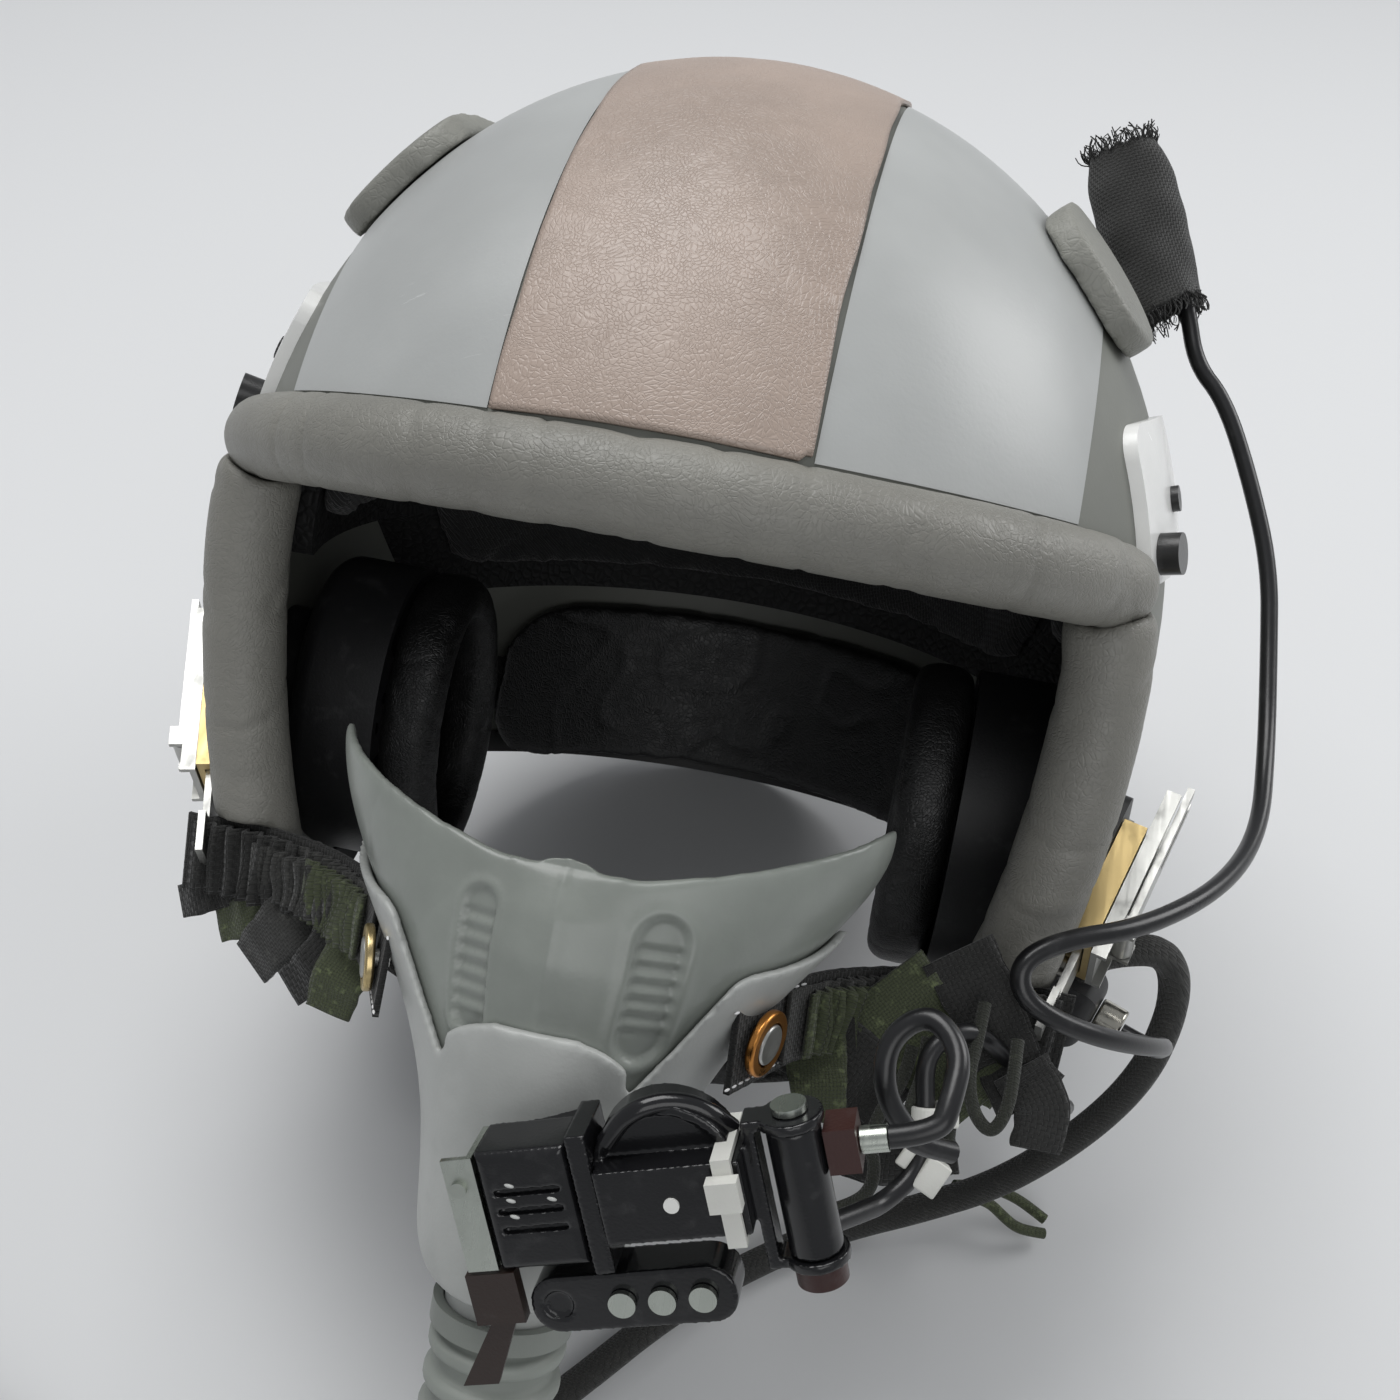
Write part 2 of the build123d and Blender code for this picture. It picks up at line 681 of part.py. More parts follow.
# Leather seal: a rounded oval ring on the cup's mouth
with BuildPart() as ear_seal:
    seal_x = CUP_INNER_X - SEAT_GAP - SEAL_DEPTH
    extrude(ear_section(seal_x), amount=SEAL_DEPTH)
    extrude(ear_section(seal_x, SEAL_BAND), amount=SEAL_DEPTH, mode=Mode.SUBTRACT)
    fillet(ear_seal.edges().filter_by(GeomType.ELLIPSE), radius=SEAL_ROUND)

# Earphone on the cup's back wall, its ports towards the ear
with BuildPart(Plane.YZ.offset(CUP_OUTER_X - CUP_WALL - SEAT_GAP - EARPHONE_DEPTH)) as earphone:
    with Locations((CUP_Y, CUP_LEVEL)):
        Cylinder(EARPHONE_RADIUS, EARPHONE_DEPTH, align=(Align.CENTER, Align.CENTER, Align.MIN))
        with PolarLocations(EARPHONE_RADIUS / 2, EARPHONE_PORTS):
            port_deep = EARPHONE_DEPTH / 4
            Cylinder(
                EARPHONE_PORT_RADIUS,
                port_deep,
                align=(Align.CENTER, Align.CENTER, Align.MIN),
                mode=Mode.SUBTRACT,
            )

# Spacer pad between the cup and the shell
with BuildPart() as spacer_block:
    with BuildSketch(Plane.YZ.offset(CUP_OUTER_X + SEAT_GAP)):
        with Locations((CUP_Y, CUP_LEVEL)):
            Ellipse(SPACER_HALF_LENGTH, SPACER_HALF_HEIGHT)
    extrude(amount=SHELL_HALF_WIDTH - CUP_OUTER_X)
ear_spacer = spacer_block.part & egg(foam_outer)

ear_pieces = (
    (earcup.part, "ear_cups"),
    (ear_seal.part, "ear_seals"),
    (earphone.part, "earphones"),
    (ear_spacer, "ear_spacers"),
)
for piece, node in ear_pieces:
    write_pair(piece, node)

# Leather nape pad, curved to the back of the shell
with BuildPart() as nape_block:
    with BuildSketch(Plane.XZ):
        with Locations((0, (NAPE_PAD_LOW + NAPE_PAD_HIGH) / 2)):
            RectangleRounded(2 * NAPE_PAD_HALF, NAPE_PAD_HIGH - NAPE_PAD_LOW, NAPE_PAD_CORNER)
    extrude(amount=-FAR_SIDE)
nape_outer = -SHELL_WALL - BEAD_WALL - SEAT_GAP
write((egg(nape_outer) - egg(nape_outer - NAPE_PAD_THICK)) & nape_block.part, "nape_pad")

# Nape straps, webbing from each ear cup's spacer round to the nape pad
with BuildPart() as web_block:
    with BuildSketch(Plane.YZ.offset(NAPE_PAD_HALF + SEAT_GAP)):
        with Locations((CUP_Y + SPACER_HALF_LENGTH + SEAT_GAP, NAPE_WEB_LOW)):
            Rectangle(FAR_SIDE, NAPE_WEB_HIGH - NAPE_WEB_LOW, align=(Align.MIN, Align.MIN))
    extrude(amount=WIDE_SIDE)
nape_strap = (egg(nape_outer) - egg(nape_outer - WEB_THICK)) & web_block.part
write_pair(nape_strap, "nape_straps")

# Chin strap: a webbing loop between the lobes, with a soft pad at its lowest stretch
chin_half = skin_x(CHIN_WEB_Y - CHIN_WEB_WIDTH / 2, CHIN_WEB_TOP, -SHELL_WALL - BEAD_WALL) - WEB_THICK
chin_low = CHIN_WEB_TOP - CHIN_WEB_DROP
with BuildLine(Plane.XZ.offset(-CHIN_WEB_Y)) as chin_path:
    ThreePointArc((-chin_half, CHIN_WEB_TOP), (0, chin_low), (chin_half, CHIN_WEB_TOP))
with BuildPart() as chin_strap:
    with BuildSketch(Plane(origin=chin_path.line @ 0, x_dir=(0, 1, 0), z_dir=chin_path.line % 0)):
        Rectangle(CHIN_WEB_WIDTH, WEB_THICK)
    sweep(path=chin_path.line)
write(chin_strap.part, "chin_strap")

chin_radius = (chin_half**2 + CHIN_WEB_DROP**2) / (2 * CHIN_WEB_DROP)
pad_face = chin_radius - WEB_THICK / 2 - SEAT_GAP
with BuildPart() as chin_pad:
    with BuildSketch(Plane.XZ.offset(-CHIN_WEB_Y - CHIN_PAD_WIDTH / 2)):
        with Locations((0, chin_low + chin_radius)):
            Circle(pad_face)
            Circle(pad_face - CHIN_PAD_THICK, mode=Mode.SUBTRACT)
        with Locations((0, chin_low)):
            Rectangle(CHIN_PAD_LENGTH, 4 * CHIN_PAD_THICK, mode=Mode.INTERSECT)
    extrude(amount=CHIN_PAD_WIDTH)
    fillet(chin_pad.edges().filter_by(Axis.Y), radius=CHIN_PAD_THICK / 3)
write(chin_pad.part, "chin_pad")

# Snap studs that hold the chin strap, outside the lobes
with BuildPart() as snap_button:
    with Locations(skin_plane(1, CHIN_WEB_Y, CHIN_WEB_TOP)):
        Cylinder(SNAP_RADIUS, 2 * SNAP_HEIGHT)
    fillet(snap_button.edges().filter_by(GeomType.CIRCLE).sort_by(Axis.X)[-1], radius=SNAP_HEIGHT / 2)
snap_stud = snap_button.part - shell_form
snap_studs = snap_stud + mirror(snap_stud, about=Plane.YZ)


def shell_layer(thick, region):
    """Sheet of an even thickness that lies on the shell over a region."""
    return (egg(thick) - shell_form) & region


def top_region(x_low, x_high, y_back, rise):
    """Everything above the widest level between two sides, from the brow roll to a back line."""
    with BuildPart() as region:
        with Locations((x_low, -FAR_SIDE, WIDEST_LEVEL)):
            Box(x_high - x_low, FAR_SIDE + y_back, TOP_SIDE, align=(Align.MIN, Align.MIN, Align.MIN))
    return region.part & side_block(LOBE_FRONT, rise, 0)


# Leather patch over the crown, front to back, and the grey panels beside it
patch_rise = ROLL_RADIUS / brow_cos + SEAT_GAP
patch_low = PATCH_SHIFT - PATCH_HALF_WIDTH
patch_high = PATCH_SHIFT + PATCH_HALF_WIDTH
patch = shell_layer(PATCH_THICK, top_region(patch_low, patch_high, PATCH_BACK, patch_rise))
write(patch, "crown_patch")
panel_left = shell_layer(TAPE_THICK, top_region(patch_high + TAPE_GAP, TAPE_OUTER, TAPE_BACK, patch_rise))
panel_right = shell_layer(TAPE_THICK, top_region(-TAPE_OUTER, patch_low - TAPE_GAP, TAPE_BACK, patch_rise))
write(panel_left + panel_right, "crown_panels")


def skin_pad(y, z, length, height, corner, thick, grow=0.0):
    """Rounded plate of even thickness, bent to the left side of the shell."""
    with BuildPart() as block:
        with BuildSketch(skin_plane(1, y, z)):
            RectangleRounded(height, length, corner)
        extrude(amount=length / 2, both=True)
    outer = egg(grow + thick)
    inner = shell_form if grow == 0 else egg(grow)
    return (outer - inner) & block.part


# Raised pads high on the sides
side_pad = skin_pad(PAD_Y, PAD_LEVEL, PAD_LENGTH, PAD_HEIGHT, PAD_CORNER, PAD_THICK, TAPE_THICK + SEAT_GAP)
write_pair(side_pad, "side_pads")

# Side plates under the pads, each with a stud at its front lower corner and a screw
side_plate = skin_pad(PLATE_Y, PLATE_LEVEL, PLATE_LENGTH, PLATE_HEIGHT, PLATE_CORNER, PLATE_THICK)
stud_y = PLATE_Y - PLATE_LENGTH / 2 + 1.6 * STUD_RADIUS
stud_level = PLATE_LEVEL - PLATE_HEIGHT / 2 + 1.6 * STUD_RADIUS
with BuildPart() as stud_block:
    with Locations(skin_plane(1, stud_y, stud_level, grow=PLATE_THICK)):
        Cylinder(STUD_RADIUS, 2 * STUD_HEIGHT)
with BuildPart() as screw_block:
    with Locations(skin_plane(1, PLATE_Y, PLATE_LEVEL, grow=PLATE_THICK)):
        Cylinder(PLATE_SCREW_RADIUS, 2 * PLATE_SCREW_HEAD)
plate_form = egg(PLATE_THICK)
plate_stud = stud_block.part - plate_form
plate_screw = screw_block.part - plate_form
write_pair(side_plate, "side_plates")
plate_fasteners = plate_stud + plate_screw
write(snap_studs + plate_fasteners + mirror(plate_fasteners, about=Plane.YZ), "shell_studs")

# Mask receivers: each lies along the lobe's side, its channel pointing down and forwards at the mask
recv_slope = Vector(RECEIVER_TURN_IN, 1, 1).normalized()
recv_skin = skin_plane(1, RECEIVER_Y, RECEIVER_LEVEL)
recv_normal = (recv_skin.z_dir - recv_slope * recv_skin.z_dir.dot(recv_slope)).normalized()
recv_plane = Plane(origin=recv_skin.origin, x_dir=recv_slope, z_dir=recv_normal)
ON_FACE = (Align.CENTER, Align.CENTER, Align.MIN)

# Black base block, hollowed to the shell
with BuildPart(recv_plane.offset(-BASE_ROOT)) as base_block:
    Box(BASE_LENGTH, BASE_WIDTH, BASE_ROOT + BASE_HEIGHT, align=ON_FACE)
    standing = base_block.edges().filter_by(lambda edge: abs((edge % 0).dot(recv_normal)) > 0.9)
    fillet(standing, radius=BASE_CORNER)
receiver_base = base_block.part - shell_form - side_roll.part

# Brass body with the channel that the blade slides in
body_floor = BASE_HEIGHT + SEAT_GAP
channel_low = body_floor + CHANNEL_FLOOR
with BuildPart(recv_plane.offset(body_floor)) as receiver_body:
    Box(BODY_LENGTH, BODY_WIDTH, BODY_HEIGHT, align=ON_FACE)
    with Locations((-CHANNEL_STOP, 0, CHANNEL_FLOOR)):
        Box(BODY_LENGTH, CHANNEL_WIDTH, CHANNEL_HEIGHT, align=ON_FACE, mode=Mode.SUBTRACT)

# Steel rails plate on the body, slotted, with a raised lip along each side
rail_floor = body_floor + BODY_HEIGHT + SEAT_GAP
with BuildPart(recv_plane.offset(rail_floor)) as receiver_rails:
    with Locations((RAIL_SHIFT, 0)):
        Box(RAIL_LENGTH, RAIL_WIDTH, RAIL_THICK, align=ON_FACE)
        with GridLocations(0, RAIL_WIDTH - RAIL_THICK, 1, 2):
            Box(RAIL_LENGTH, RAIL_THICK, RAIL_THICK + RAIL_LIP, align=ON_FACE)
    with BuildSketch(recv_plane.offset(rail_floor)):
        with Locations((RAIL_SHIFT, 0)):
            SlotOverall(RAIL_SLOT_LENGTH, RAIL_SLOT_WIDTH)
    extrude(amount=RAIL_THICK, mode=Mode.SUBTRACT)
    with Locations((LEVER_PIVOT, 0, RAIL_THICK)):
        with GridLocations(0, LEVER_WIDTH + 2 * RUN_GAP + CHEEK_THICK, 1, 2):
            cheek_rise = LEVER_LIFT + LEVER_EYE_RADIUS
            Box(2 * LEVER_EYE_RADIUS, CHEEK_THICK, cheek_rise, align=ON_FACE)

# Pivot pin through the cheeks and the release lever that turns on it
pivot_level = rail_floor + RAIL_THICK + LEVER_LIFT
pivot_place = recv_plane.from_local_coords((LEVER_PIVOT, 0, pivot_level))
pivot_plane = Plane(origin=pivot_place, x_dir=recv_slope, z_dir=recv_plane.y_dir)
pin_length = LEVER_WIDTH + 2 * RUN_GAP + 2 * CHEEK_THICK
with BuildPart(pivot_plane) as lever_pin:
    Cylinder(PIVOT_RADIUS, pin_length)
rails_bored = receiver_rails.part - lever_pin.part
with BuildPart(pivot_plane) as release_lever:
    Cylinder(LEVER_EYE_RADIUS, LEVER_WIDTH)
    with Locations((LEVER_LENGTH / 2, 0)):
        Box(LEVER_LENGTH, LEVER_THICK, LEVER_WIDTH)
    slot_middle = LEVER_LENGTH - LEVER_SLOT_LENGTH / 2
    with Locations((slot_middle, 0)):
        Box(LEVER_SLOT_LENGTH, LEVER_THICK, LEVER_SLOT_WIDTH, mode=Mode.SUBTRACT)
    Cylinder(PIVOT_RADIUS + RUN_GAP, LEVER_WIDTH, mode=Mode.SUBTRACT)

# Screws at the two ends of the base
with BuildPart(recv_plane.offset(BASE_HEIGHT + SEAT_GAP)) as receiver_screws:
    with GridLocations(2 * SCREW_SPREAD, 0, 2, 1):
        Cylinder(SCREW_HEAD_RADIUS, SCREW_HEAD_HEIGHT, align=ON_FACE)

# Bayonet: a notched blade in the channel and a slotted tail for the strap
blade_level = channel_low + CHANNEL_HEIGHT / 2
blade_front = -BODY_LENGTH / 2 - BLADE_OUTSIDE
with BuildPart(recv_plane.offset(blade_level - BLADE_THICK / 2)) as bayonet:
    with Locations((blade_front, 0)):
        blade_length = BLADE_OUTSIDE + BLADE_INSIDE
        Box(blade_length, BLADE_WIDTH, BLADE_THICK, align=(Align.MIN, Align.CENTER, Align.MIN))
        Box(TAIL_LENGTH, TAIL_WIDTH, BLADE_THICK, align=(Align.MAX, Align.CENTER, Align.MIN))
    with Locations((blade_front - TAIL_LENGTH / 2, 0)):
        Box(TAIL_SLOT_LENGTH, TAIL_SLOT_WIDTH, BLADE_THICK, align=ON_FACE, mode=Mode.SUBTRACT)
    notch_shift = blade_front + BLADE_OUTSIDE + BLADE_INSIDE / 2
    with Locations((notch_shift, 0)):
        with GridLocations(NOTCH_PITCH, BLADE_WIDTH, BLADE_NOTCHES, 2):
            Box(NOTCH_DEPTH, NOTCH_DEPTH, BLADE_THICK, align=ON_FACE, mode=Mode.SUBTRACT)

receiver_pieces = (
    (receiver_base, "receiver_bases"),
    (receiver_body.part - side_roll.part, "receiver_bodies"),
    (rails_bored + lever_pin.part, "receiver_rails"),
    (receiver_screws.part - side_roll.part, "receiver_screws"),
)
for piece, node in receiver_pieces:
    write_pair(piece, node)
for piece, node in ((release_lever.part, "release_lever"), (bayonet.part, "bayonet")):
    write(piece, f"{node}_left")
    write(mirror(piece, about=Plane.YZ), f"{node}_right")


def mask_form(grow):
    """Solid of the mask's outer form grown by a distance, its floor lowered by as much."""
    with BuildPart() as form:
        for share, wide, front, middle in zip(LEVEL_SHARES, HALF_WIDTH_SHARES, FRONT_SHARES, CENTRE_SHARES):
            level = NECK_LEVEL + share * (MASK_TOP - NECK_LEVEL) - (grow if share == 0 else 0)
            with BuildSketch(Plane.XY.offset(level)):
                with Locations((0, -MASK_REACH * middle)):
                    Ellipse(MASK_HALF_WIDTH * wide + grow, MASK_REACH * (front - middle) + grow)
        loft()
    return form.part


def mask_region(edge_points, edge_radii, back_shift):
    """Everything below an edge drawn from the front and before the mask's slanted back edge."""
    with BuildPart() as below:
        with BuildSketch(Plane.XZ):
            with BuildLine():
                FilletPolyline(*edge_points, radius=edge_radii, close=True)
            make_face()
        extrude(amount=FAR_SIDE)
    back_lean = (MASK_BACK_TOP - MASK_BACK_LOW) / (MASK_TOP - MASK_CUP_LEVEL)
    back_foot = MASK_BACK_LOW + back_shift - back_lean * (MASK_CUP_LEVEL + FAR_SIDE)
    back_head = MASK_BACK_TOP + back_shift + back_lean * (TOP_SIDE - MASK_TOP)
    with BuildPart() as before:
        with BuildSketch(Plane.YZ):
            with BuildLine():
                Polyline(
                    (-TOP_SIDE, -FAR_SIDE),
                    (back_foot, -FAR_SIDE),
                    (back_head, TOP_SIDE),
                    (-TOP_SIDE, TOP_SIDE),
                    close=True,
                )
            make_face()
        extrude(amount=WIDE_SIDE, both=True)
    return below.part & before.part


# Neck tube below the mask, for the hose
neck_lean = radians(NECK_LEAN)
neck_dir = Vector(0, -sin(neck_lean), -cos(neck_lean))
neck_plane = Plane(origin=(0, NECK_Y, NECK_LEVEL), x_dir=(1, 0, 0), z_dir=neck_dir)
with BuildPart(neck_plane) as neck_tube:
    Cylinder(NECK_RADIUS, NECK_LENGTH, align=ON_FACE)
    Cylinder(NECK_RADIUS, NECK_RADIUS / 2, align=(Align.CENTER, Align.CENTER, Align.MAX))
with BuildPart(neck_plane) as neck_bore:
    Cylinder(NECK_BORE, 2 * NECK_LENGTH + NECK_RADIUS)

# Rigid mask shell, its top edge cut in a W around the nose
shell_edge = (
    (-WIDE_SIDE, LOBE_END_LEVEL),
    (-LOBE_PEAK_X, LOBE_PEAK_LEVEL),
    (-LOBE_RISE_X, LOBE_RISE_LEVEL),
    (-NOTCH_HALF, NOTCH_LOW),
    (-TONGUE_HALF, TONGUE_LEVEL),
    (TONGUE_HALF, TONGUE_LEVEL),
    (NOTCH_HALF, NOTCH_LOW),
    (LOBE_RISE_X, LOBE_RISE_LEVEL),
    (LOBE_PEAK_X, LOBE_PEAK_LEVEL),
    (WIDE_SIDE, LOBE_END_LEVEL),
    (WIDE_SIDE, -FAR_SIDE),
    (-WIDE_SIDE, -FAR_SIDE),
)
shell_edge_radii = (
    0, EDGE_ROUND, EDGE_ROUND, EDGE_TIGHT, EDGE_TIGHT, EDGE_TIGHT,
    EDGE_TIGHT, EDGE_ROUND, EDGE_ROUND, 0, 0, 0,
)
mask_inner = mask_form(-MASK_WALL)
mask_cup = (mask_form(0) - mask_inner) & mask_region(shell_edge, shell_edge_radii, 0)
mask_shell = (mask_cup + (neck_tube.part - mask_inner)) - neck_bore.part
write(mask_shell, "mask_shell")

# Soft facepiece inside it, with the ridge over the nose
face_edge = (
    (-WIDE_SIDE, FACE_TIP_LEVEL),
    (-FACE_TIP_X, FACE_TIP_LEVEL),
    (-FACE_DIP_X, FACE_NOSE_LEVEL),
    (FACE_DIP_X, FACE_NOSE_LEVEL),
    (FACE_TIP_X, FACE_TIP_LEVEL),
    (WIDE_SIDE, FACE_TIP_LEVEL),
    (WIDE_SIDE, -FAR_SIDE),
    (-WIDE_SIDE, -FAR_SIDE),
)
face_grow = -MASK_WALL - SEAT_GAP
face_cavity = mask_form(face_grow - FACE_WALL)
nose_fall = Vector(0, NOSE_FOOT_Y - NOSE_TOP_Y, NOSE_FOOT_LEVEL - NOSE_TOP_LEVEL)
with BuildPart(Plane(origin=(0, NOSE_TOP_Y, NOSE_TOP_LEVEL), z_dir=nose_fall)) as nose_ridge:
    Cylinder(NOSE_RIDGE_RADIUS, nose_fall.length, align=ON_FACE)
    Sphere(NOSE_RIDGE_RADIUS)
face_region = mask_region(face_edge, (0, EDGE_ROUND, EDGE_SOFT, EDGE_SOFT, EDGE_ROUND, 0, 0, 0), FACE_OVERLAP)
face_wall = ((mask_form(face_grow) - face_cavity) & face_region) + (nose_ridge.part - face_cavity)
facepiece = face_wall - mask_shell - neck_bore.part
write(facepiece, "facepiece")

# Clamp ring round the hose's first turn on the neck
clamp_middle = NECK_LENGTH - NECK_RING_LENGTH
with BuildPart(neck_plane.offset(clamp_middle)) as neck_ring:
    Cylinder(NECK_RING_RADIUS, NECK_RING_LENGTH, align=ON_FACE)
    Cylinder(NECK_RADIUS + SEAT_GAP, NECK_RING_LENGTH, align=ON_FACE, mode=Mode.SUBTRACT)
write(neck_ring.part, "neck_ring")

# Inhale valve over the neck's bore: a seat with a spider and a disc that lifts off it
valve_room = mask_form(face_grow - FACE_WALL - SEAT_GAP)
inhale_floor = NECK_LEVEL - face_grow + FACE_WALL + SEAT_GAP


def valve_seat(plane, housing_length):
    """Seat ring with a spider and a hub, and a tube before it that guides the disc."""
    with BuildPart(plane) as seat:
        Cylinder(SEAT_RADIUS, SEAT_THICK + housing_length, align=ON_FACE)
        with Locations((0, 0, SEAT_THICK)):
            Cylinder(VALVE_RADIUS + VALVE_PLAY, housing_length, align=ON_FACE, mode=Mode.SUBTRACT)
        Cylinder(SEAT_BORE, SEAT_THICK, align=ON_FACE, mode=Mode.SUBTRACT)
        with PolarLocations(0, SPIDER_ARMS):
            Box(
                SEAT_BORE + SEAT_THICK, SPIDER_ARM_WIDTH, SEAT_THICK,
                align=(Align.MIN, Align.CENTER, Align.MIN),
            )
        Cylinder(HUB_RADIUS, SEAT_THICK, align=ON_FACE)
        Cylinder(VALVE_STEM + RUN_GAP, SEAT_THICK, align=ON_FACE, mode=Mode.SUBTRACT)
    return seat.part


def valve_disc(plane):
    """Rubber disc above the seat, with its stem through the hub."""
    with BuildPart(plane.offset(SEAT_THICK + SEAT_GAP)) as disc:
        Cylinder(VALVE_RADIUS, VALVE_THICK, align=ON_FACE)
        Cylinder(VALVE_STEM, VALVE_STEM_LENGTH, align=(Align.CENTER, Align.CENTER, Align.MAX))
        with Locations((0, 0, VALVE_THICK)):
            Cylinder(VALVE_STEM, VALVE_THICK, align=ON_FACE)
    return disc.part


inhale_plane = Plane(origin=(0, INHALE_Y, inhale_floor))
inhale_seat = valve_seat(inhale_plane, INHALE_GUIDE) & valve_room
write(valve_disc(inhale_plane), "inhale_valve")

# Exhale valve behind the mask's front wall, its disc opening forwards in the guide tube
exhale_plane = Plane(origin=(0, EXHALE_Y, EXHALE_LEVEL), x_dir=(1, 0, 0), z_dir=(0, -1, 0))
write(inhale_seat + (valve_seat(exhale_plane, FAR_SIDE) & valve_room), "valve_seats")
write(valve_disc(exhale_plane), "exhale_valve")

# Microphone capsule against the facepiece, above the exhale valve
with BuildPart(Plane(origin=(0, MIC_Y, MIC_LEVEL), x_dir=(1, 0, 0), z_dir=(0, -1, 0))) as mic_block:
    Cylinder(MIC_RADIUS, FAR_SIDE, align=ON_FACE)
    with PolarLocations(MIC_RADIUS / 2, EARPHONE_PORTS):
        Cylinder(MIC_PORT_RADIUS, MIC_PORT_DEPTH, align=ON_FACE, mode=Mode.SUBTRACT)
write(mic_block.part & valve_room, "microphone")


def mask_section(level):
    """Half width, middle and half depth of the mask's outer form at a level."""
    share = (level - NECK_LEVEL) / (MASK_TOP - NECK_LEVEL)
    upper = next(step for step, limit in enumerate(LEVEL_SHARES) if limit >= share)
    part = (share - LEVEL_SHARES[upper - 1]) / (LEVEL_SHARES[upper] - LEVEL_SHARES[upper - 1])
    values = []
    for shares in (HALF_WIDTH_SHARES, FRONT_SHARES, CENTRE_SHARES):
        values.append(shares[upper - 1] + part * (shares[upper] - shares[upper - 1]))
    wide, front, middle = values
    return MASK_HALF_WIDTH * wide, -MASK_REACH * middle, MASK_REACH * (front - middle)


# Ring and screw on each side of the mask, where the strap is held
half, middle, reach = mask_section(MASK_SCREW_LEVEL)
screw_turn = radians(MASK_SCREW_TURN)
screw_point = Vector(half * cos(screw_turn), middle - reach * sin(screw_turn), MASK_SCREW_LEVEL)
screw_normal = Vector(cos(screw_turn) / half, -sin(screw_turn) / reach, 0).normalized()
screw_plane = Plane(origin=screw_point, x_dir=Vector(0, 0, 1), z_dir=screw_normal)
ring_floor = STRAP_LIFT + STRAP_THICK + SEAT_GAP
with BuildPart(screw_plane.offset(ring_floor)) as mask_ring:
    Cylinder(RING_OUTER, RING_THICK, align=ON_FACE)
    fillet(mask_ring.edges().filter_by(GeomType.CIRCLE), radius=RING_THICK / 3)
    Cylinder(RING_INNER, RING_THICK, align=ON_FACE, mode=Mode.SUBTRACT)
with BuildPart(screw_plane.offset(ring_floor)) as mask_screw:
    Cylinder(MASK_SCREW_RADIUS, MASK_SCREW_HEAD, align=ON_FACE)
    fillet(mask_screw.edges().filter_by(GeomType.CIRCLE), radius=MASK_SCREW_HEAD / 4)
    Cylinder(MASK_SCREW_SHANK, ring_floor - SEAT_GAP, align=(Align.CENTER, Align.CENTER, Align.MAX))

# Strap from the mask screw to the bayonet's tail, laid in a plane that holds the screw's axis
tail_point = recv_plane.from_local_coords((blade_front - TAIL_LENGTH / 2, 0, blade_level + STRAP_STAND))
strap_origin = screw_point + screw_normal * (STRAP_LIFT + STRAP_THICK / 2)
strap_way = tail_point - strap_origin
strap_side = strap_way.cross(screw_normal).normalized()
strap_tangent = screw_normal.cross(strap_side).normalized()
if strap_tangent.dot(strap_way) < 0:
    strap_tangent = -strap_tangent
with BuildLine() as strap_path:
    foot = Line(strap_origin - strap_tangent * STRAP_END, strap_origin + strap_tangent * STRAP_END)
    TangentArc(foot @ 1, tail_point, tangent=strap_tangent)
with BuildPart() as strap_band:
    with BuildSketch(Plane(origin=strap_path.line @ 0, x_dir=strap_side, z_dir=strap_path.line % 0)):
        Rectangle(STRAP_WIDTH, STRAP_THICK)
    sweep(path=strap_path.line)
with BuildPart(screw_plane) as strap_hole:
    Cylinder(MASK_SCREW_SHANK + SEAT_GAP, ring_floor, align=ON_FACE)
with BuildPart(recv_plane.offset(blade_level - BLADE_THICK / 2 - RUN_GAP)) as tail_room:
    with Locations((blade_front, 0)):
        room_width = TAIL_WIDTH + 2 * RUN_GAP
        Box(2 * TAIL_LENGTH, room_width, BLADE_THICK + 2 * RUN_GAP, align=ON_FACE)
with BuildPart() as strap_room:
    with BuildSketch(Plane(origin=strap_path.line @ 0, x_dir=strap_side, z_dir=strap_path.line % 0)):
        with Locations((0, STRAP_THICK / 2 + RUN_GAP)):
            Rectangle(STRAP_WIDTH + 2 * RUN_GAP, 2 * ROLL_RADIUS, align=(Align.CENTER, Align.MAX))
    sweep(path=strap_path.line)
mask_strap = strap_band.part - strap_hole.part - tail_room.part - mask_form(SEAT_GAP)

write(mask_ring.part, "mask_ring_left")
write(mirror(mask_ring.part, about=Plane.YZ), "mask_ring_right")
write_pair(mask_screw.part - mask_form(SEAT_GAP), "mask_screws")
write_pair(mask_strap, "mask_straps")
write_pair(side_roll.part - strap_room.part, "side_rolls")

# Electric unit before the mask: drawn on a turned plane whose normal points forwards
unit_turn = radians(UNIT_TURN)
unit_along = (cos(unit_turn), 0, sin(unit_turn))
unit_plane = Plane(origin=(UNIT_X, UNIT_BACK_Y, UNIT_LEVEL), x_dir=unit_along, z_dir=(0, -1, 0))
box_end = BOX_SHIFT + BOX_LENGTH / 2
with BuildPart(unit_plane) as unit_box:
    with Locations((BOX_SHIFT, 0)):
        Box(BOX_LENGTH, BOX_HEIGHT, BOX_DEPTH, align=ON_FACE)
    fillet(unit_box.faces().sort_by(Axis.Y)[0].edges(), radius=BOX_CORNER)
    with Locations((BOX_SHIFT, 0, BOX_DEPTH - LOUVRE_DEPTH)):
        with GridLocations(0, LOUVRE_PITCH, 1, LOUVRE_COUNT):
            Box(LOUVRE_LENGTH, LOUVRE_WIDTH, LOUVRE_DEPTH, align=ON_FACE, mode=Mode.SUBTRACT)
write(unit_box.part, "unit_box")

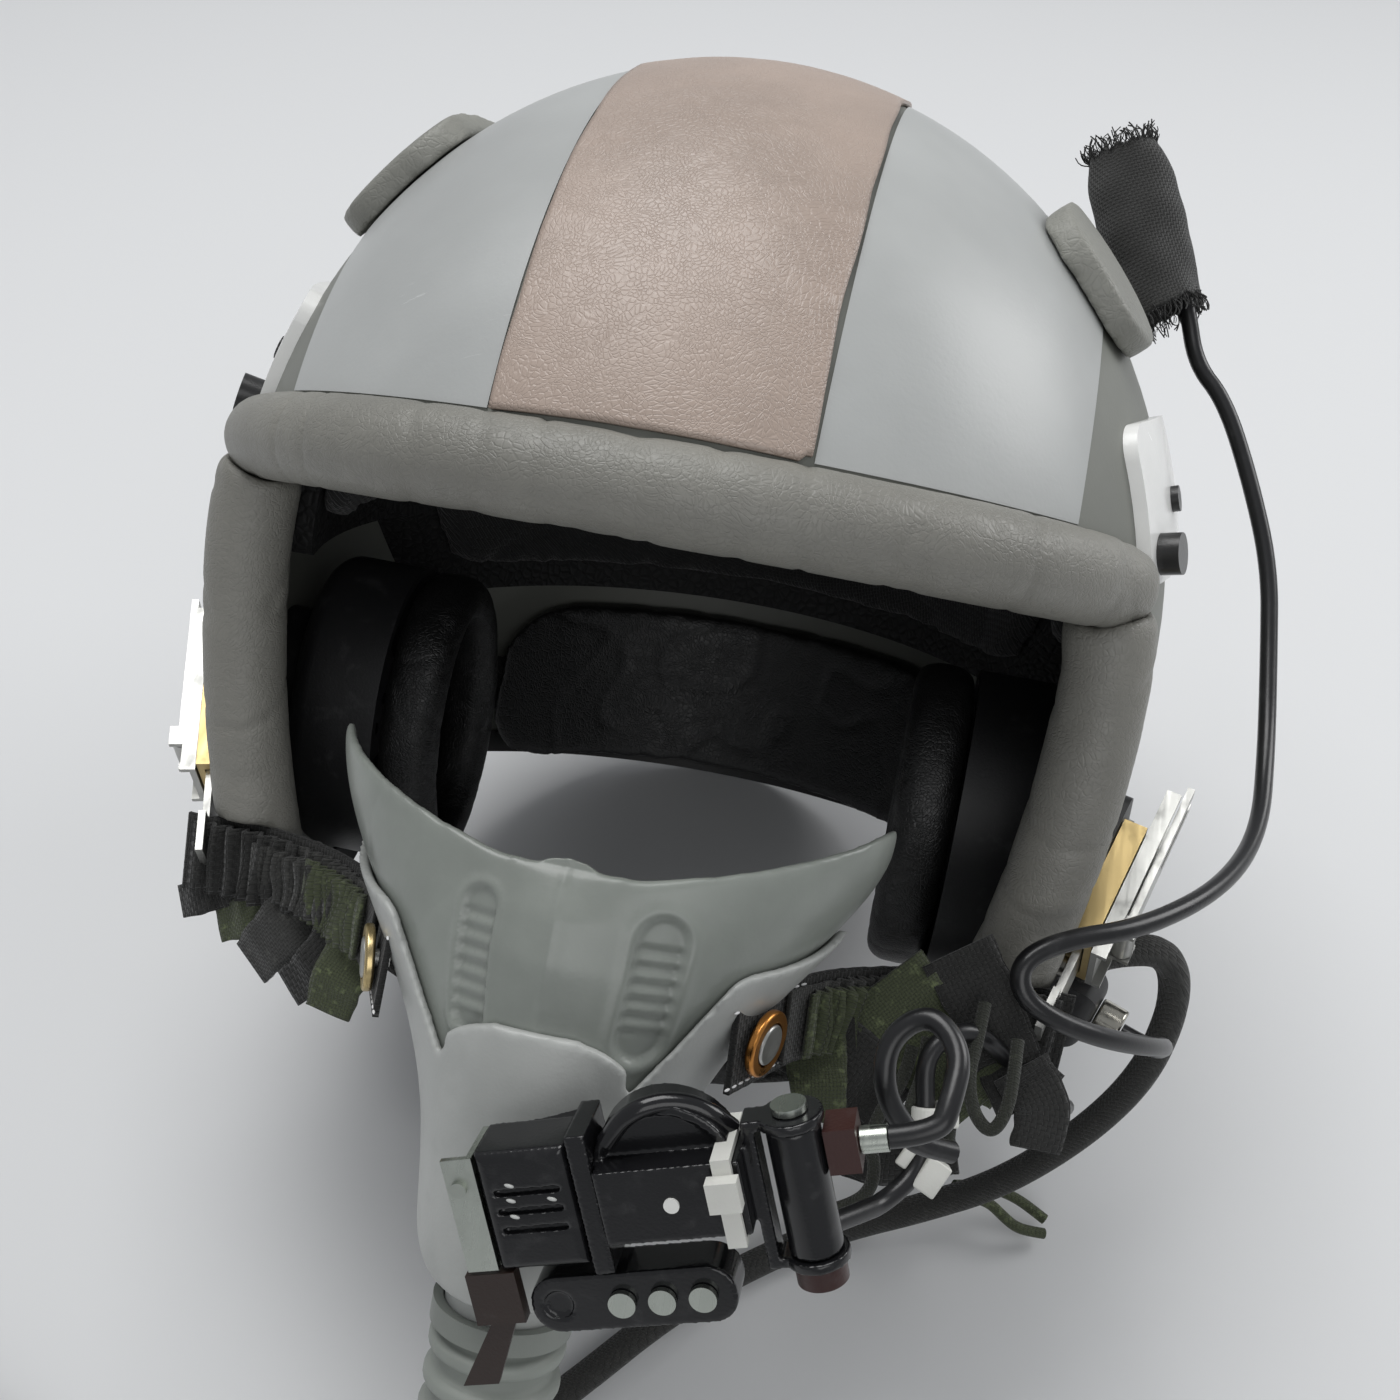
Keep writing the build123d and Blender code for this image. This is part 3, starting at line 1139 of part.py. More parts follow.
# Head: a round rimmed dome with a box across its front, joined to the first box through the clip
with BuildPart(unit_plane) as unit_head:
    with Locations((HEAD_SHIFT - DOME_BACK, DOME_RISE)):
        Cylinder(DOME_RADIUS, DOME_DEPTH, align=ON_FACE)
        with Locations((0, 0, DOME_DEPTH - DOME_SINK)):
            Cylinder(DOME_RADIUS - DOME_RIM, DOME_SINK, align=ON_FACE, mode=Mode.SUBTRACT)
    with Locations((HEAD_SHIFT, 0)):
        Box(HEAD_LENGTH, HEAD_HEIGHT, HEAD_DEPTH, align=ON_FACE)
    neck_start = box_end + SEAT_GAP
    with Locations((neck_start, 0)):
        neck_span = HEAD_SHIFT - HEAD_LENGTH / 2 - neck_start
        Box(neck_span, HEAD_HEIGHT, BOX_DEPTH - CLIP_WALL, align=(Align.MIN, Align.CENTER, Align.MIN))
with BuildPart(unit_plane.offset(HEAD_DEPTH)) as unit_dot:
    with Locations((HEAD_SHIFT, 0)):
        Cylinder(DOT_RADIUS, DOT_HEIGHT, align=ON_FACE)
write(unit_dot.part, "unit_dot")

# Clip band round the joint of the two boxes
clip_middle = (neck_start + HEAD_SHIFT - HEAD_LENGTH / 2) / 2
clip_room = BOX_DEPTH - CLIP_WALL + 2 * SEAT_GAP
with BuildPart(unit_plane.offset(-CLIP_WALL - SEAT_GAP)) as unit_clip:
    with Locations((clip_middle, 0)):
        clip_room_height = HEAD_HEIGHT + 2 * SEAT_GAP
        clip_depth = clip_room + 2 * CLIP_WALL
        Box(CLIP_WIDTH, CLIP_HEIGHT, clip_depth, align=ON_FACE)
    with Locations((clip_middle, 0, CLIP_WALL)):
        Box(CLIP_WIDTH, clip_room_height, clip_room, align=ON_FACE, mode=Mode.SUBTRACT)

# Lower bar with a round end, a dimple and three screws
with BuildPart(unit_plane.offset(BAR_BACK)) as unit_bar:
    with BuildSketch(unit_plane.offset(BAR_BACK)):
        with Locations((BAR_SHIFT, -BAR_DROP)):
            RectangleRounded(BAR_LENGTH, BAR_HEIGHT, BAR_END)
    extrude(amount=BAR_DEPTH)
    with Locations((BAR_SHIFT - BAR_LENGTH / 2 + BAR_END, -BAR_DROP, BAR_DEPTH - DIMPLE_DEPTH)):
        Cylinder(DIMPLE_RADIUS, DIMPLE_DEPTH, align=ON_FACE, mode=Mode.SUBTRACT)
write(unit_bar.part, "unit_bar")
with BuildPart(unit_plane.offset(BAR_BACK + BAR_DEPTH + SEAT_GAP)) as bar_screws:
    with Locations((BAR_SHIFT + BAR_SCREW_SHIFT, -BAR_DROP)):
        with GridLocations(BAR_SCREW_PITCH, 0, BAR_SCREWS, 1):
            Cylinder(BAR_SCREW_RADIUS, BAR_SCREW_HEAD, align=ON_FACE)

# Hinge at the other end: two ears on the head, a tube between them, a pin and a brown foot
ear_reach = TUBE_SHIFT - HEAD_SHIFT - HEAD_LENGTH / 2
tube_low = TUBE_RISE - TUBE_HEIGHT / 2
tube_foot = unit_plane.from_local_coords((TUBE_SHIFT, tube_low, TUBE_DEPTH))
axis_plane = Plane(origin=tube_foot, x_dir=unit_plane.x_dir, z_dir=unit_plane.y_dir)
with BuildPart(axis_plane) as unit_hinge:
    ear_levels = (-TUBE_EAR_THICK - SEAT_GAP, TUBE_HEIGHT + SEAT_GAP)
    for level in ear_levels:
        with Locations((0, 0, level)):
            Cylinder(TUBE_EAR_RADIUS, TUBE_EAR_THICK, align=ON_FACE)
            Box(
                ear_reach - SEAT_GAP, TUBE_EAR_RADIUS, TUBE_EAR_THICK,
                align=(Align.MAX, Align.CENTER, Align.MIN),
            )
    with Locations((-ear_reach + SEAT_GAP, 0, ear_levels[0])):
        web_height = ear_levels[1] - ear_levels[0] + TUBE_EAR_THICK
        Box(HINGE_WEB, TUBE_EAR_RADIUS, web_height, align=(Align.MIN, Align.CENTER, Align.MIN))
    with Locations((0, 0, ear_levels[0])):
        Cylinder(HINGE_PIN_RADIUS + SEAT_GAP, web_height, align=ON_FACE, mode=Mode.SUBTRACT)
write(unit_head.part + unit_hinge.part, "unit_head")
with BuildPart(axis_plane) as hinge_tube:
    Cylinder(TUBE_RADIUS, TUBE_HEIGHT, align=ON_FACE)
    Cylinder(HINGE_PIN_RADIUS + SEAT_GAP, TUBE_HEIGHT, align=ON_FACE, mode=Mode.SUBTRACT)
write(hinge_tube.part, "hinge_tube")
with BuildPart(axis_plane.offset(ear_levels[0])) as hinge_pin:
    Cylinder(HINGE_PIN_RADIUS, web_height + SEAT_GAP, align=ON_FACE)
    with Locations((0, 0, web_height + SEAT_GAP)):
        Cylinder(HINGE_PIN_HEAD, HINGE_HEAD_HEIGHT, align=ON_FACE)
with BuildPart(axis_plane.offset(ear_levels[0] - SEAT_GAP)) as hinge_foot:
    Cylinder(FOOT_RADIUS, FOOT_HEIGHT, align=(Align.CENTER, Align.CENTER, Align.MAX))

# Small dark box with a steel ferrule beyond the hinge, where the upper loop starts
ferrule_back = TUBE_SHIFT + TUBE_RADIUS + SEAT_GAP
with BuildPart(unit_plane) as ferrule_box:
    with Locations((ferrule_back, FERRULE_RISE)):
        Box(
            FERRULE_BOX_LENGTH, FERRULE_BOX_HEIGHT, FERRULE_BOX_DEPTH,
            align=(Align.MIN, Align.CENTER, Align.MIN),
        )
write(ferrule_box.part + hinge_foot.part, "unit_brown_pieces")
ferrule_start = ferrule_back + FERRULE_BOX_LENGTH + SEAT_GAP
ferrule_origin = unit_plane.from_local_coords((ferrule_start, FERRULE_RISE, FERRULE_BOX_DEPTH / 2))
ferrule_plane = Plane(origin=ferrule_origin, x_dir=unit_plane.y_dir, z_dir=unit_plane.x_dir)
with BuildPart(ferrule_plane) as unit_ferrule:
    Cylinder(FERRULE_RADIUS, FERRULE_LENGTH, align=ON_FACE)

# Steel bracket at the box's free end, with a rivet, and the small buckle that hangs from it
with BuildPart(unit_plane) as unit_bracket:
    with Locations((BOX_SHIFT - BOX_LENGTH / 2 - SEAT_GAP, 0)):
        Box(BRACKET_THICK, BRACKET_HEIGHT, BOX_DEPTH, align=(Align.MAX, Align.CENTER, Align.MIN))
        with Locations((-BRACKET_THICK, 0, BOX_DEPTH - BRACKET_THICK)):
            Box(BRACKET_WIDTH, BRACKET_HEIGHT, BRACKET_THICK, align=(Align.MAX, Align.CENTER, Align.MIN))
        with Locations((-BRACKET_WIDTH / 2 - BRACKET_THICK, BRACKET_HEIGHT / 4, BOX_DEPTH)):
            Cylinder(RIVET_RADIUS, RIVET_HEIGHT, align=ON_FACE)
write(unit_bracket.part + unit_ferrule.part + hinge_pin.part + bar_screws.part, "unit_steel_pieces")
buckle_shift = BOX_SHIFT - BOX_LENGTH / 2 - BRACKET_WIDTH / 2
with BuildPart(unit_plane.offset(BOX_DEPTH - BUCKLE_DEPTH)) as unit_buckle:
    with Locations((buckle_shift, -BOX_HEIGHT / 2 - SEAT_GAP - BUCKLE_HEIGHT / 2)):
        Box(BUCKLE_WIDTH, BUCKLE_HEIGHT, BUCKLE_DEPTH, align=ON_FACE)
        buckle_window = BUCKLE_WIDTH - 2 * BUCKLE_FRAME
        Box(
            buckle_window, BUCKLE_HEIGHT - 2 * BUCKLE_FRAME, BUCKLE_DEPTH / 2,
            align=ON_FACE, mode=Mode.SUBTRACT,
        )
with BuildPart() as buckle_strap:
    with BuildSketch(unit_plane.offset(BOX_DEPTH - BUCKLE_DEPTH)):
        strap_high = -BOX_HEIGHT / 2 - BUCKLE_HEIGHT - 2 * SEAT_GAP
        with BuildLine():
            Polyline(
                (buckle_shift - BUCKLE_WIDTH / 4, strap_high),
                (buckle_shift + BUCKLE_WIDTH / 4, strap_high),
                (buckle_shift + BUCKLE_WIDTH / 4 - STRAP_TIP_SHIFT, strap_high - STRAP_TIP_DROP),
                (buckle_shift - BUCKLE_WIDTH / 2 - STRAP_TIP_SHIFT, strap_high - STRAP_TIP_DROP),
                close=True,
            )
        make_face()
    extrude(amount=BUCKLE_DEPTH / 2)
write(unit_buckle.part + buckle_strap.part, "unit_buckle")

# Hanger that carries the unit on the mask's front
with BuildPart(unit_plane) as hanger_block:
    with Locations((BOX_SHIFT + HANGER_SHIFT, 0, -SEAT_GAP)):
        Box(HANGER_WIDTH, HEAD_HEIGHT, HANGER_REACH, align=(Align.CENTER, Align.CENTER, Align.MAX))
unit_hanger = hanger_block.part - mask_form(SEAT_GAP)
write(unit_hanger + (unit_clip.part - unit_head.part), "unit_mount")

# Zip tie round the unit between the head and the hinge
zip_shift = HEAD_SHIFT + HEAD_LENGTH / 2 - ZIP_WIDTH / 2 - ZIP_THICK
with BuildPart(unit_plane) as zip_tie:
    with Locations((zip_shift, 0, -SEAT_GAP - ZIP_THICK)):
        zip_room = HEAD_HEIGHT + 2 * SEAT_GAP
        zip_depth = HEAD_DEPTH + 2 * SEAT_GAP
        Box(ZIP_WIDTH, zip_room + 2 * ZIP_THICK, zip_depth + 2 * ZIP_THICK, align=ON_FACE)
        with Locations((0, 0, ZIP_THICK)):
            Box(ZIP_WIDTH, zip_room, zip_depth, align=ON_FACE, mode=Mode.SUBTRACT)
    with Locations((zip_shift, ZIP_HEAD / 2, HEAD_DEPTH + SEAT_GAP + ZIP_THICK)):
        Box(ZIP_HEAD, ZIP_HEAD, ZIP_HEAD / 2, align=ON_FACE)
write(zip_tie.part - unit_head.part, "zip_tie")

# Connector block on the left lobe with its coupling nut
comm_plane = skin_plane(1, COMM_Y, COMM_LEVEL)
with BuildPart(comm_plane.offset(-COMM_ROUND)) as comm_form:
    Box(COMM_WIDTH, COMM_LENGTH, COMM_HEIGHT + COMM_ROUND, align=ON_FACE)
    fillet(comm_form.faces().sort_by(Axis.X)[-1].edges(), radius=COMM_ROUND)
comm_block = comm_form.part - shell_form
write(comm_block, "comm_block")
comm_middle = COMM_HEIGHT / 2
nut_plane = comm_plane.offset(COMM_HEIGHT + SEAT_GAP)
with BuildPart(nut_plane) as coupling_nut:
    Cylinder(NUT_RADIUS, NUT_LENGTH, align=ON_FACE)
    fillet(coupling_nut.edges().filter_by(GeomType.CIRCLE), radius=GROMMET_WALL / 2)
write(coupling_nut.part, "coupling_nut")

# Woven sleeve behind the left raised pad, on an elastic strap that stands up from the shell
sleeve_axis = Vector(*SLEEVE_TOP) - Vector(*SLEEVE_BASE)
sleeve_out = Vector(1, 0, 0) - sleeve_axis * (sleeve_axis.X / sleeve_axis.length**2)
sleeve_plane = Plane(origin=SLEEVE_BASE, x_dir=sleeve_out, z_dir=sleeve_axis)
with BuildPart(sleeve_plane) as cable_sleeve:
    Cylinder(SLEEVE_RADIUS, sleeve_axis.length, align=ON_FACE)
    Cylinder(SLEEVE_RADIUS - SLEEVE_WALL, sleeve_axis.length, align=ON_FACE, mode=Mode.SUBTRACT)
write(cable_sleeve.part, "cable_sleeve")

strap_skin = SLEEVE_STRAP_THICK / 2 + SEAT_GAP
foot_points = []
strap_foot_levels = [STRAP_FOOT_LEVEL + SLEEVE_STRAP_FOOT * share / 2 for share in range(3)]
for level in strap_foot_levels:
    foot_points.append((skin_x(STRAP_FOOT_Y, level, strap_skin), STRAP_FOOT_Y, level))
strap_entry = sleeve_plane.from_local_coords((-SLEEVE_STRAP_INSET, 0, 0))
strap_top = sleeve_plane.from_local_coords((-SLEEVE_STRAP_INSET, 0, SLEEVE_STRAP_DEPTH))
strap_places = [Vector(*point) for point in foot_points] + [strap_entry, strap_top]
strap_ways = [strap_places[1] - strap_places[0], strap_places[2] - strap_places[0]]
strap_ways += [strap_places[3] - strap_places[1], strap_places[4] - strap_places[2], sleeve_axis]
with BuildPart() as sleeve_strap:
    for place, way in zip(strap_places, strap_ways):
        across = sleeve_plane.y_dir - way * (sleeve_plane.y_dir.dot(way) / way.length**2)
        with BuildSketch(Plane(origin=place, x_dir=across, z_dir=way)):
            Rectangle(SLEEVE_STRAP_WIDTH, SLEEVE_STRAP_THICK)
    loft(ruled=True)
write(sleeve_strap.part - shell_form, "sleeve_strap")


def leaned(point):
    """Where a point of the upright helmet lies once the helmet is leaned back."""
    return (REST * Pos(*point)).position


def lying(point):
    """Where a point given on the floor lies."""
    return (LYING * Pos(*point)).position


def leaned_way(way):
    """Direction of the upright helmet, turned with it."""
    return leaned(way) - leaned(Vector(0, 0, 0))


def cord(points, ways, diameter, node):
    """Round cord of straight runs and arcs that leaves its first and enters its last point straight."""
    lead_out = points[0] + ways[0].normalized() * CORD_LEAD
    lead_in = points[-1] - ways[1].normalized() * CORD_LEAD
    corners = [points[0], lead_out, *points[1:-1], lead_in, points[-1]]
    runs = [after - before for before, after in zip(corners, corners[1:])]
    radii = []
    for before, after in zip(runs, runs[1:]):
        half_turn = radians(before.get_angle(after)) / 2
        radii.append(RUN_SHARE * min(before.length, after.length) / tan(half_turn))
    with BuildLine() as path:
        FilletPolyline(*corners, radius=radii)
    with BuildPart() as body:
        with BuildSketch(Plane(origin=corners[0], z_dir=runs[0])):
            Circle(diameter / 2)
        sweep(path=path.wires()[0])
    length = path.wires()[0].length
    bends = [round(radius, 1) for radius in radii]
    share = body.part.volume / (length * pi * diameter**2 / 4)
    print(node, "diameter", diameter, "length", round(length, 1), "radii", bends, "volume share", round(share, 3))
    write(body.part, node, Location())


# Slim cable out of the sleeve, round over the left receiver to the coupling nut
slim_start = sleeve_plane.from_local_coords((SLIM_INSET, 0, CORD_LEAD))
slim_end = nut_plane.from_local_coords((0, 0, NUT_LENGTH + SEAT_GAP))
slim_route = [leaned(point) for point in (slim_start, *SLIM_POINTS, slim_end)]
cord(slim_route, (leaned_way(-sleeve_axis), leaned_way(-nut_plane.z_dir)), SLIM_CABLE, "slim_cable")

# Two loops that feed the unit
low_start = comm_plane.from_local_coords((-COMM_WIDTH / 2 - 2 * SEAT_GAP, 0, comm_middle))
low_route = [leaned(point) for point in (low_start, *LOOP_LOW_POINTS)]
cord(low_route, (leaned_way(-comm_plane.x_dir), leaned_way(LOOP_LOW_WAY)), LOOP_CABLE, "loop_cable_low")
high_start = ferrule_plane.from_local_coords((0, 0, FERRULE_LENGTH + SEAT_GAP))
high_route = [leaned(point) for point in (high_start, *LOOP_HIGH_POINTS)]
cord(high_route, (leaned_way(ferrule_plane.z_dir), leaned_way(LOOP_HIGH_WAY)), LOOP_CABLE, "loop_cable_high")

# Main cable down from the connector block and away over the floor, with its plug
main_start = comm_plane.from_local_coords((COMM_WIDTH / 2 - MAIN_ENTRY, 0, comm_middle))
plug_way = (Vector(*MAIN_END) - Vector(*MAIN_POINTS[-1])) * Vector(1, 1, 0).length
plug_way = Vector(plug_way.X, plug_way.Y, 0).normalized()
main_route = [leaned(point) for point in (main_start, *MAIN_UPPER_POINTS)]
main_route += [lying(point) for point in (*MAIN_POINTS, MAIN_END)]
cord(main_route, (leaned_way(comm_plane.x_dir), plug_way), MAIN_CABLE, "main_cable")
with BuildPart(Plane(origin=lying(MAIN_END), z_dir=plug_way).offset(SEAT_GAP)) as main_plug:
    Cone(MAIN_CABLE / 2, RELIEF_RADIUS, RELIEF_LENGTH, align=ON_FACE)
    with Locations((0, 0, RELIEF_LENGTH)):
        Cylinder(PLUG_RADIUS, PLUG_LENGTH, align=ON_FACE)
    for groove in range(PLUG_GROOVES):
        with Locations((0, 0, RELIEF_LENGTH + (groove + 1) * PLUG_LENGTH / (2 * PLUG_GROOVES))):
            Cylinder(PLUG_RADIUS, PLUG_GROOVE, mode=Mode.SUBTRACT)
            Cylinder(PLUG_RADIUS - PLUG_GROOVE, PLUG_GROOVE)
    with Locations((0, 0, RELIEF_LENGTH + PLUG_LENGTH)):
        Cylinder(PLUG_TIP_RADIUS, PLUG_TIP_LENGTH, align=ON_FACE)
write(main_plug.part, "main_plug", Location())

# Corrugated hose from the neck to its end piece: rings of two radii along one path
hose_start = leaned(neck_plane.from_local_coords((0, 0, NECK_LENGTH + SEAT_GAP)))
hose_way = Vector(*HOSE_END) - Vector(*HOSE_POINTS[-1])
hose_way = Vector(hose_way.X, hose_way.Y, 0).normalized()
with BuildLine() as hose_path:
    hose_lead = hose_start + leaned_way(neck_dir).normalized() * HOSE_LEAD
    Spline(hose_start, hose_lead, *[lying(point) for point in (*HOSE_POINTS, HOSE_END)])
hose_run = hose_path.edges()[0]
rib_pitch = hose_run.length / HOSE_RIBS


def hose_ring(share, radius):
    """Circle square to the hose's path, its start always on the same side."""
    way = hose_run % share
    with BuildSketch(Plane(origin=hose_run @ share, x_dir=way.cross(Vector(0, 0, 1)), z_dir=way)) as ring:
        Circle(radius)
    return ring.sketch.faces()[0]


rings = []
for rib in range(HOSE_RIBS):
    for land, crest in zip(RIB_LAND_SHARES, (HOSE_VALLEY, HOSE_CREST, HOSE_CREST)):
        crest_radius = min(crest, HOSE_VALLEY + (rib + 1) * (HOSE_CREST - HOSE_VALLEY) / (HOSE_TAPER_RIBS + 1))
        rings.append(hose_ring((rib + land) / HOSE_RIBS, crest_radius))
rings.append(hose_ring(1, HOSE_VALLEY))
hose_body = loft(rings, ruled=True)
hose_hollow = loft([hose_ring(rib / HOSE_RIBS, HOSE_BORE) for rib in range(HOSE_RIBS + 1)], ruled=True)
print("breathing_hose length", round(hose_run.length, 1), "rib pitch", round(rib_pitch, 2))
write(hose_body - hose_hollow, "breathing_hose", Location())

# End piece with a collar that turns on its spigot
end_plane = Plane(origin=lying(HOSE_END), x_dir=(0, 0, 1), z_dir=hose_way).offset(SEAT_GAP)
with BuildPart(end_plane) as hose_end:
    Cylinder(END_RADIUS, END_LENGTH, align=ON_FACE)
    with Locations((0, 0, END_LENGTH)):
        Cylinder(SPIGOT_RADIUS, SPIGOT_LENGTH, align=ON_FACE)
        with Locations((0, 0, RUN_GAP + COLLAR_LENGTH + RUN_GAP)):
            Cylinder(END_RADIUS, SPIGOT_LIP, align=ON_FACE)
    Cylinder(HOSE_BORE, END_LENGTH + SPIGOT_LENGTH, align=ON_FACE, mode=Mode.SUBTRACT)
write(hose_end.part, "hose_end", Location())
with BuildPart(end_plane.offset(END_LENGTH + RUN_GAP)) as hose_collar:
    Cylinder(COLLAR_RADIUS, COLLAR_LENGTH, align=ON_FACE)
    Cylinder(COLLAR_INNER, COLLAR_LENGTH, align=ON_FACE, mode=Mode.SUBTRACT)
    with PolarLocations(COLLAR_RADIUS, COLLAR_FLUTES):
        Cylinder(FLUTE_RADIUS, COLLAR_LENGTH, align=ON_FACE, mode=Mode.SUBTRACT)
write(hose_collar.part, "hose_collar", Location())
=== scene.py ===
"""Looks of a leaning flight helmet with its oxygen mask, hose and cables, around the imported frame."""

from math import cos, pi, radians, sin

import bmesh
import bpy
import numpy as np
from mathutils import Matrix, Vector, noise
from mathutils.bvhtree import BVHTree


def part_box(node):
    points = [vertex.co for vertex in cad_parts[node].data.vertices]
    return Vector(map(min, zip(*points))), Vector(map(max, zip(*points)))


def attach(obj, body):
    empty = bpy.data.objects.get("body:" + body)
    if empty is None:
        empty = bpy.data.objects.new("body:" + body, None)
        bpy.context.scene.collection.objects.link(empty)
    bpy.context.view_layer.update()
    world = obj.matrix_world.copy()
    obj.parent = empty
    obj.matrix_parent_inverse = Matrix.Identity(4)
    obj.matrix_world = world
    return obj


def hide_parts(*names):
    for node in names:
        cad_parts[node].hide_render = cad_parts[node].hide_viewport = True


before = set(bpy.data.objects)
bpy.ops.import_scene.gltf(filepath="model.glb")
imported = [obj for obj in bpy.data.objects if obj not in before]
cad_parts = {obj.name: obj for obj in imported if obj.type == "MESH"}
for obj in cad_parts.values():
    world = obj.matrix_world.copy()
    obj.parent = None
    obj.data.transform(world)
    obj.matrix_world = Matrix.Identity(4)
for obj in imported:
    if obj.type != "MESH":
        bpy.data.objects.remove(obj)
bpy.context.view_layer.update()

bl_info = {
    "name": "Flight helmet finish",
    "version": (1, 0, 0),
    "blender": (4, 5, 0),
    "location": "View3D > Sidebar > Helmet",
    "description": "Skins, webbing, cables and finishes of a leaning flight helmet",
    "category": "Object",
}

MM = 0.001
VIEW_PLACE = (0.0585, -0.28596, 0.4440)
VIEW_RIGHT = Vector((0.9750, 0.2185, 0.0414))
VIEW_UP = Vector((-0.1856, 0.6971, 0.6925))
VIEW_LENS = 40.06
SENSOR_WIDTH = 36.0
PHOTO_MIDDLE = 700
PHOTO_FOCAL = 2 * PHOTO_MIDDLE * VIEW_LENS / SENSOR_WIDTH

# Name, place, side in metres and power in watts
LAMPS = (
    ("key", (-0.35, 0.45, 1.45), 1.0, 15.5), ("front", (0.45, -1.25, 1.0), 1.0, 5.0),
    ("rim", (1.1, 0.75, 0.8), 0.7, 7.0),
)

SLIM_ROUTE = (
    (0.1172, 0.1424, 0.2065), (0.1206, 0.1362, 0.2009), (0.126, 0.1271, 0.1889), (0.136, 0.1182, 0.1837),
    (0.147, 0.1008, 0.1695), (0.156, 0.0811, 0.1554), (0.159, 0.0598, 0.1424), (0.161, 0.0322, 0.1306),
    (0.158, 0.0004, 0.1316), (0.145, -0.0294, 0.1419), (0.124, -0.0539, 0.1514), (0.106, -0.0645, 0.1552),
    (0.097, -0.0713, 0.1534), (0.098, -0.0765, 0.1483), (0.106, -0.0782, 0.1435), (0.119, -0.0755, 0.1361),
    (0.132, -0.0672, 0.1244), (0.14, -0.0572, 0.1117), (0.1393, -0.0506, 0.0989), (0.131, -0.0472, 0.0994),
)
LOOP_LOW_ROUTE = (
    (0.1141, -0.0449, 0.0927), (0.1121, -0.0488, 0.0848), (0.119, -0.0642, 0.0857), (0.119, -0.0731, 0.1002),
    (0.11, -0.082, 0.1168), (0.098, -0.0845, 0.1344), (0.088, -0.0861, 0.1457), (0.079, -0.0938, 0.1444),
    (0.082, -0.1038, 0.1351), (0.083, -0.1136, 0.1281), (0.076, -0.1226, 0.1264), (0.0714, -0.128, 0.1308),
    (0.066, -0.1338, 0.1352),
)
LOOP_HIGH_ROUTE = (
    (0.0724, -0.139, 0.184), (0.0809, -0.1375, 0.1867), (0.082, -0.1328, 0.1889), (0.083, -0.1224, 0.1909),
    (0.076, -0.1152, 0.1914), (0.069, -0.1195, 0.1858), (0.07, -0.1271, 0.1787), (0.077, -0.1299, 0.1699),
    (0.0787, -0.1298, 0.1672), (0.086, -0.1272, 0.1625),
)
MAIN_ROUTE = (
    (0.117, -0.0395, 0.1041), (0.119, -0.0356, 0.112), (0.129, -0.0299, 0.111), (0.139, -0.0256, 0.1085),
    (0.145, -0.0261, 0.0996), (0.147, -0.0305, 0.086), (0.144, -0.0388, 0.0676), (0.133, -0.0468, 0.046),
    (0.114, -0.0568, 0.026), (0.093, -0.0628, 0.012), (0.074, -0.0698, 0.0057), (0.058, -0.0798, 0.0051),
    (0.03, -0.1038, 0.0051), (0.004, -0.1378, 0.0051), (-0.022, -0.1668, 0.0051), (-0.06, -0.1868, 0.0051),
    (-0.104, -0.1908, 0.0051), (-0.1312, -0.1847, 0.0086), (-0.14, -0.1828, 0.0086),
)
HOSE_ROUTE = (
    (0.0, -0.1585, 0.1055), (0.0, -0.1663, 0.0964), (0.0, -0.1849, 0.0747), (0.001, -0.2138, 0.046),
    (0.007, -0.2468, 0.025), (0.022, -0.2808, 0.0168), (0.0485, -0.3113, 0.0159), (0.0831, -0.3313, 0.0159),
    (0.1222, -0.3396, 0.0159), (0.162, -0.3354, 0.0159), (0.1985, -0.3191, 0.0159), (0.2282, -0.2923, 0.0159),
)
SLIM_SIZE = 0.0048
LOOP_SIZE = 0.0044
MAIN_SIZE = 0.0084
HOSE_SIZE = 0.030
HOSE_VALLEY_SIZE = 0.0248
HOSE_RIBS = 50

# Pixels of the photograph; those of the tangle come with their distance in front of its plane, in millimetres
TANGLE_PLACE = (0.088, -0.100, 0.128)
TANGLE_CORDS = (
    (
        (985, 1003, 0), (976, 1035, 3), (964, 1070, 5), (968, 1106, 6), (986, 1128, 6), (1001, 1104, 7),
        (1010, 1068, 5), (1016, 1038, 2),
    ),
    (
        (926, 1034, 3), (921, 1068, 5), (906, 1100, 6), (903, 1135, 6), (916, 1163, 6), (938, 1152, 7),
        (946, 1120, 7), (944, 1084, 4), (956, 1050, 1),
    ),
    (
        (828, 1214, -2), (848, 1206, 0), (868, 1190, 2), (874, 1165, 3), (868, 1138, 3), (880, 1106, 2),
        (905, 1080, 0), (914, 1048, -2),
    ),
)
TANGLE_SIZE = 0.0030
# Three pixels along the scrap's middle, its width and its cloth
TANGLE_SCRAPS = (
    ((795, 1035, -7), (850, 1072, -6), (905, 1112, -6), 0.021, "tape"),
    ((885, 985, -7), (930, 1045, -6), (985, 1112, -5), 0.023, "olive"),
    ((962, 955, -6), (1000, 1035, -5), (1030, 1112, -3), 0.018, "tape"),
    ((1022, 1070, -2), (1042, 1108, 0), (1034, 1150, 0), 0.014, "tape"),
    ((835, 1140, -8), (895, 1158, -8), (960, 1150, -7), 0.019, "tape"),
)
TIE_PIXEL = (924, 1162, 10)
TIE_TURN = -35
TIE_BLOCKS = ((0.0, 0.0, 0.0058, 0.0078, 0.0042), (-0.0042, 0.0058, 0.0028, 0.0090, 0.0014))
ARCH_PIXELS = ((606, 1142), (620, 1122), (640, 1108), (664, 1102), (690, 1104), (712, 1114), (732, 1128))
LOUVRE_PIXELS = ((509, 1186), (511, 1201), (515, 1217), (552, 1199), (588, 1229))
CHANNELS = (((663, 945), (640, 1040), 0.0062), ((482, 905), (466, 1015), 0.0046))
CHANNEL_DEPTH = 0.0016
CHANNEL_PITCH = 0.0036
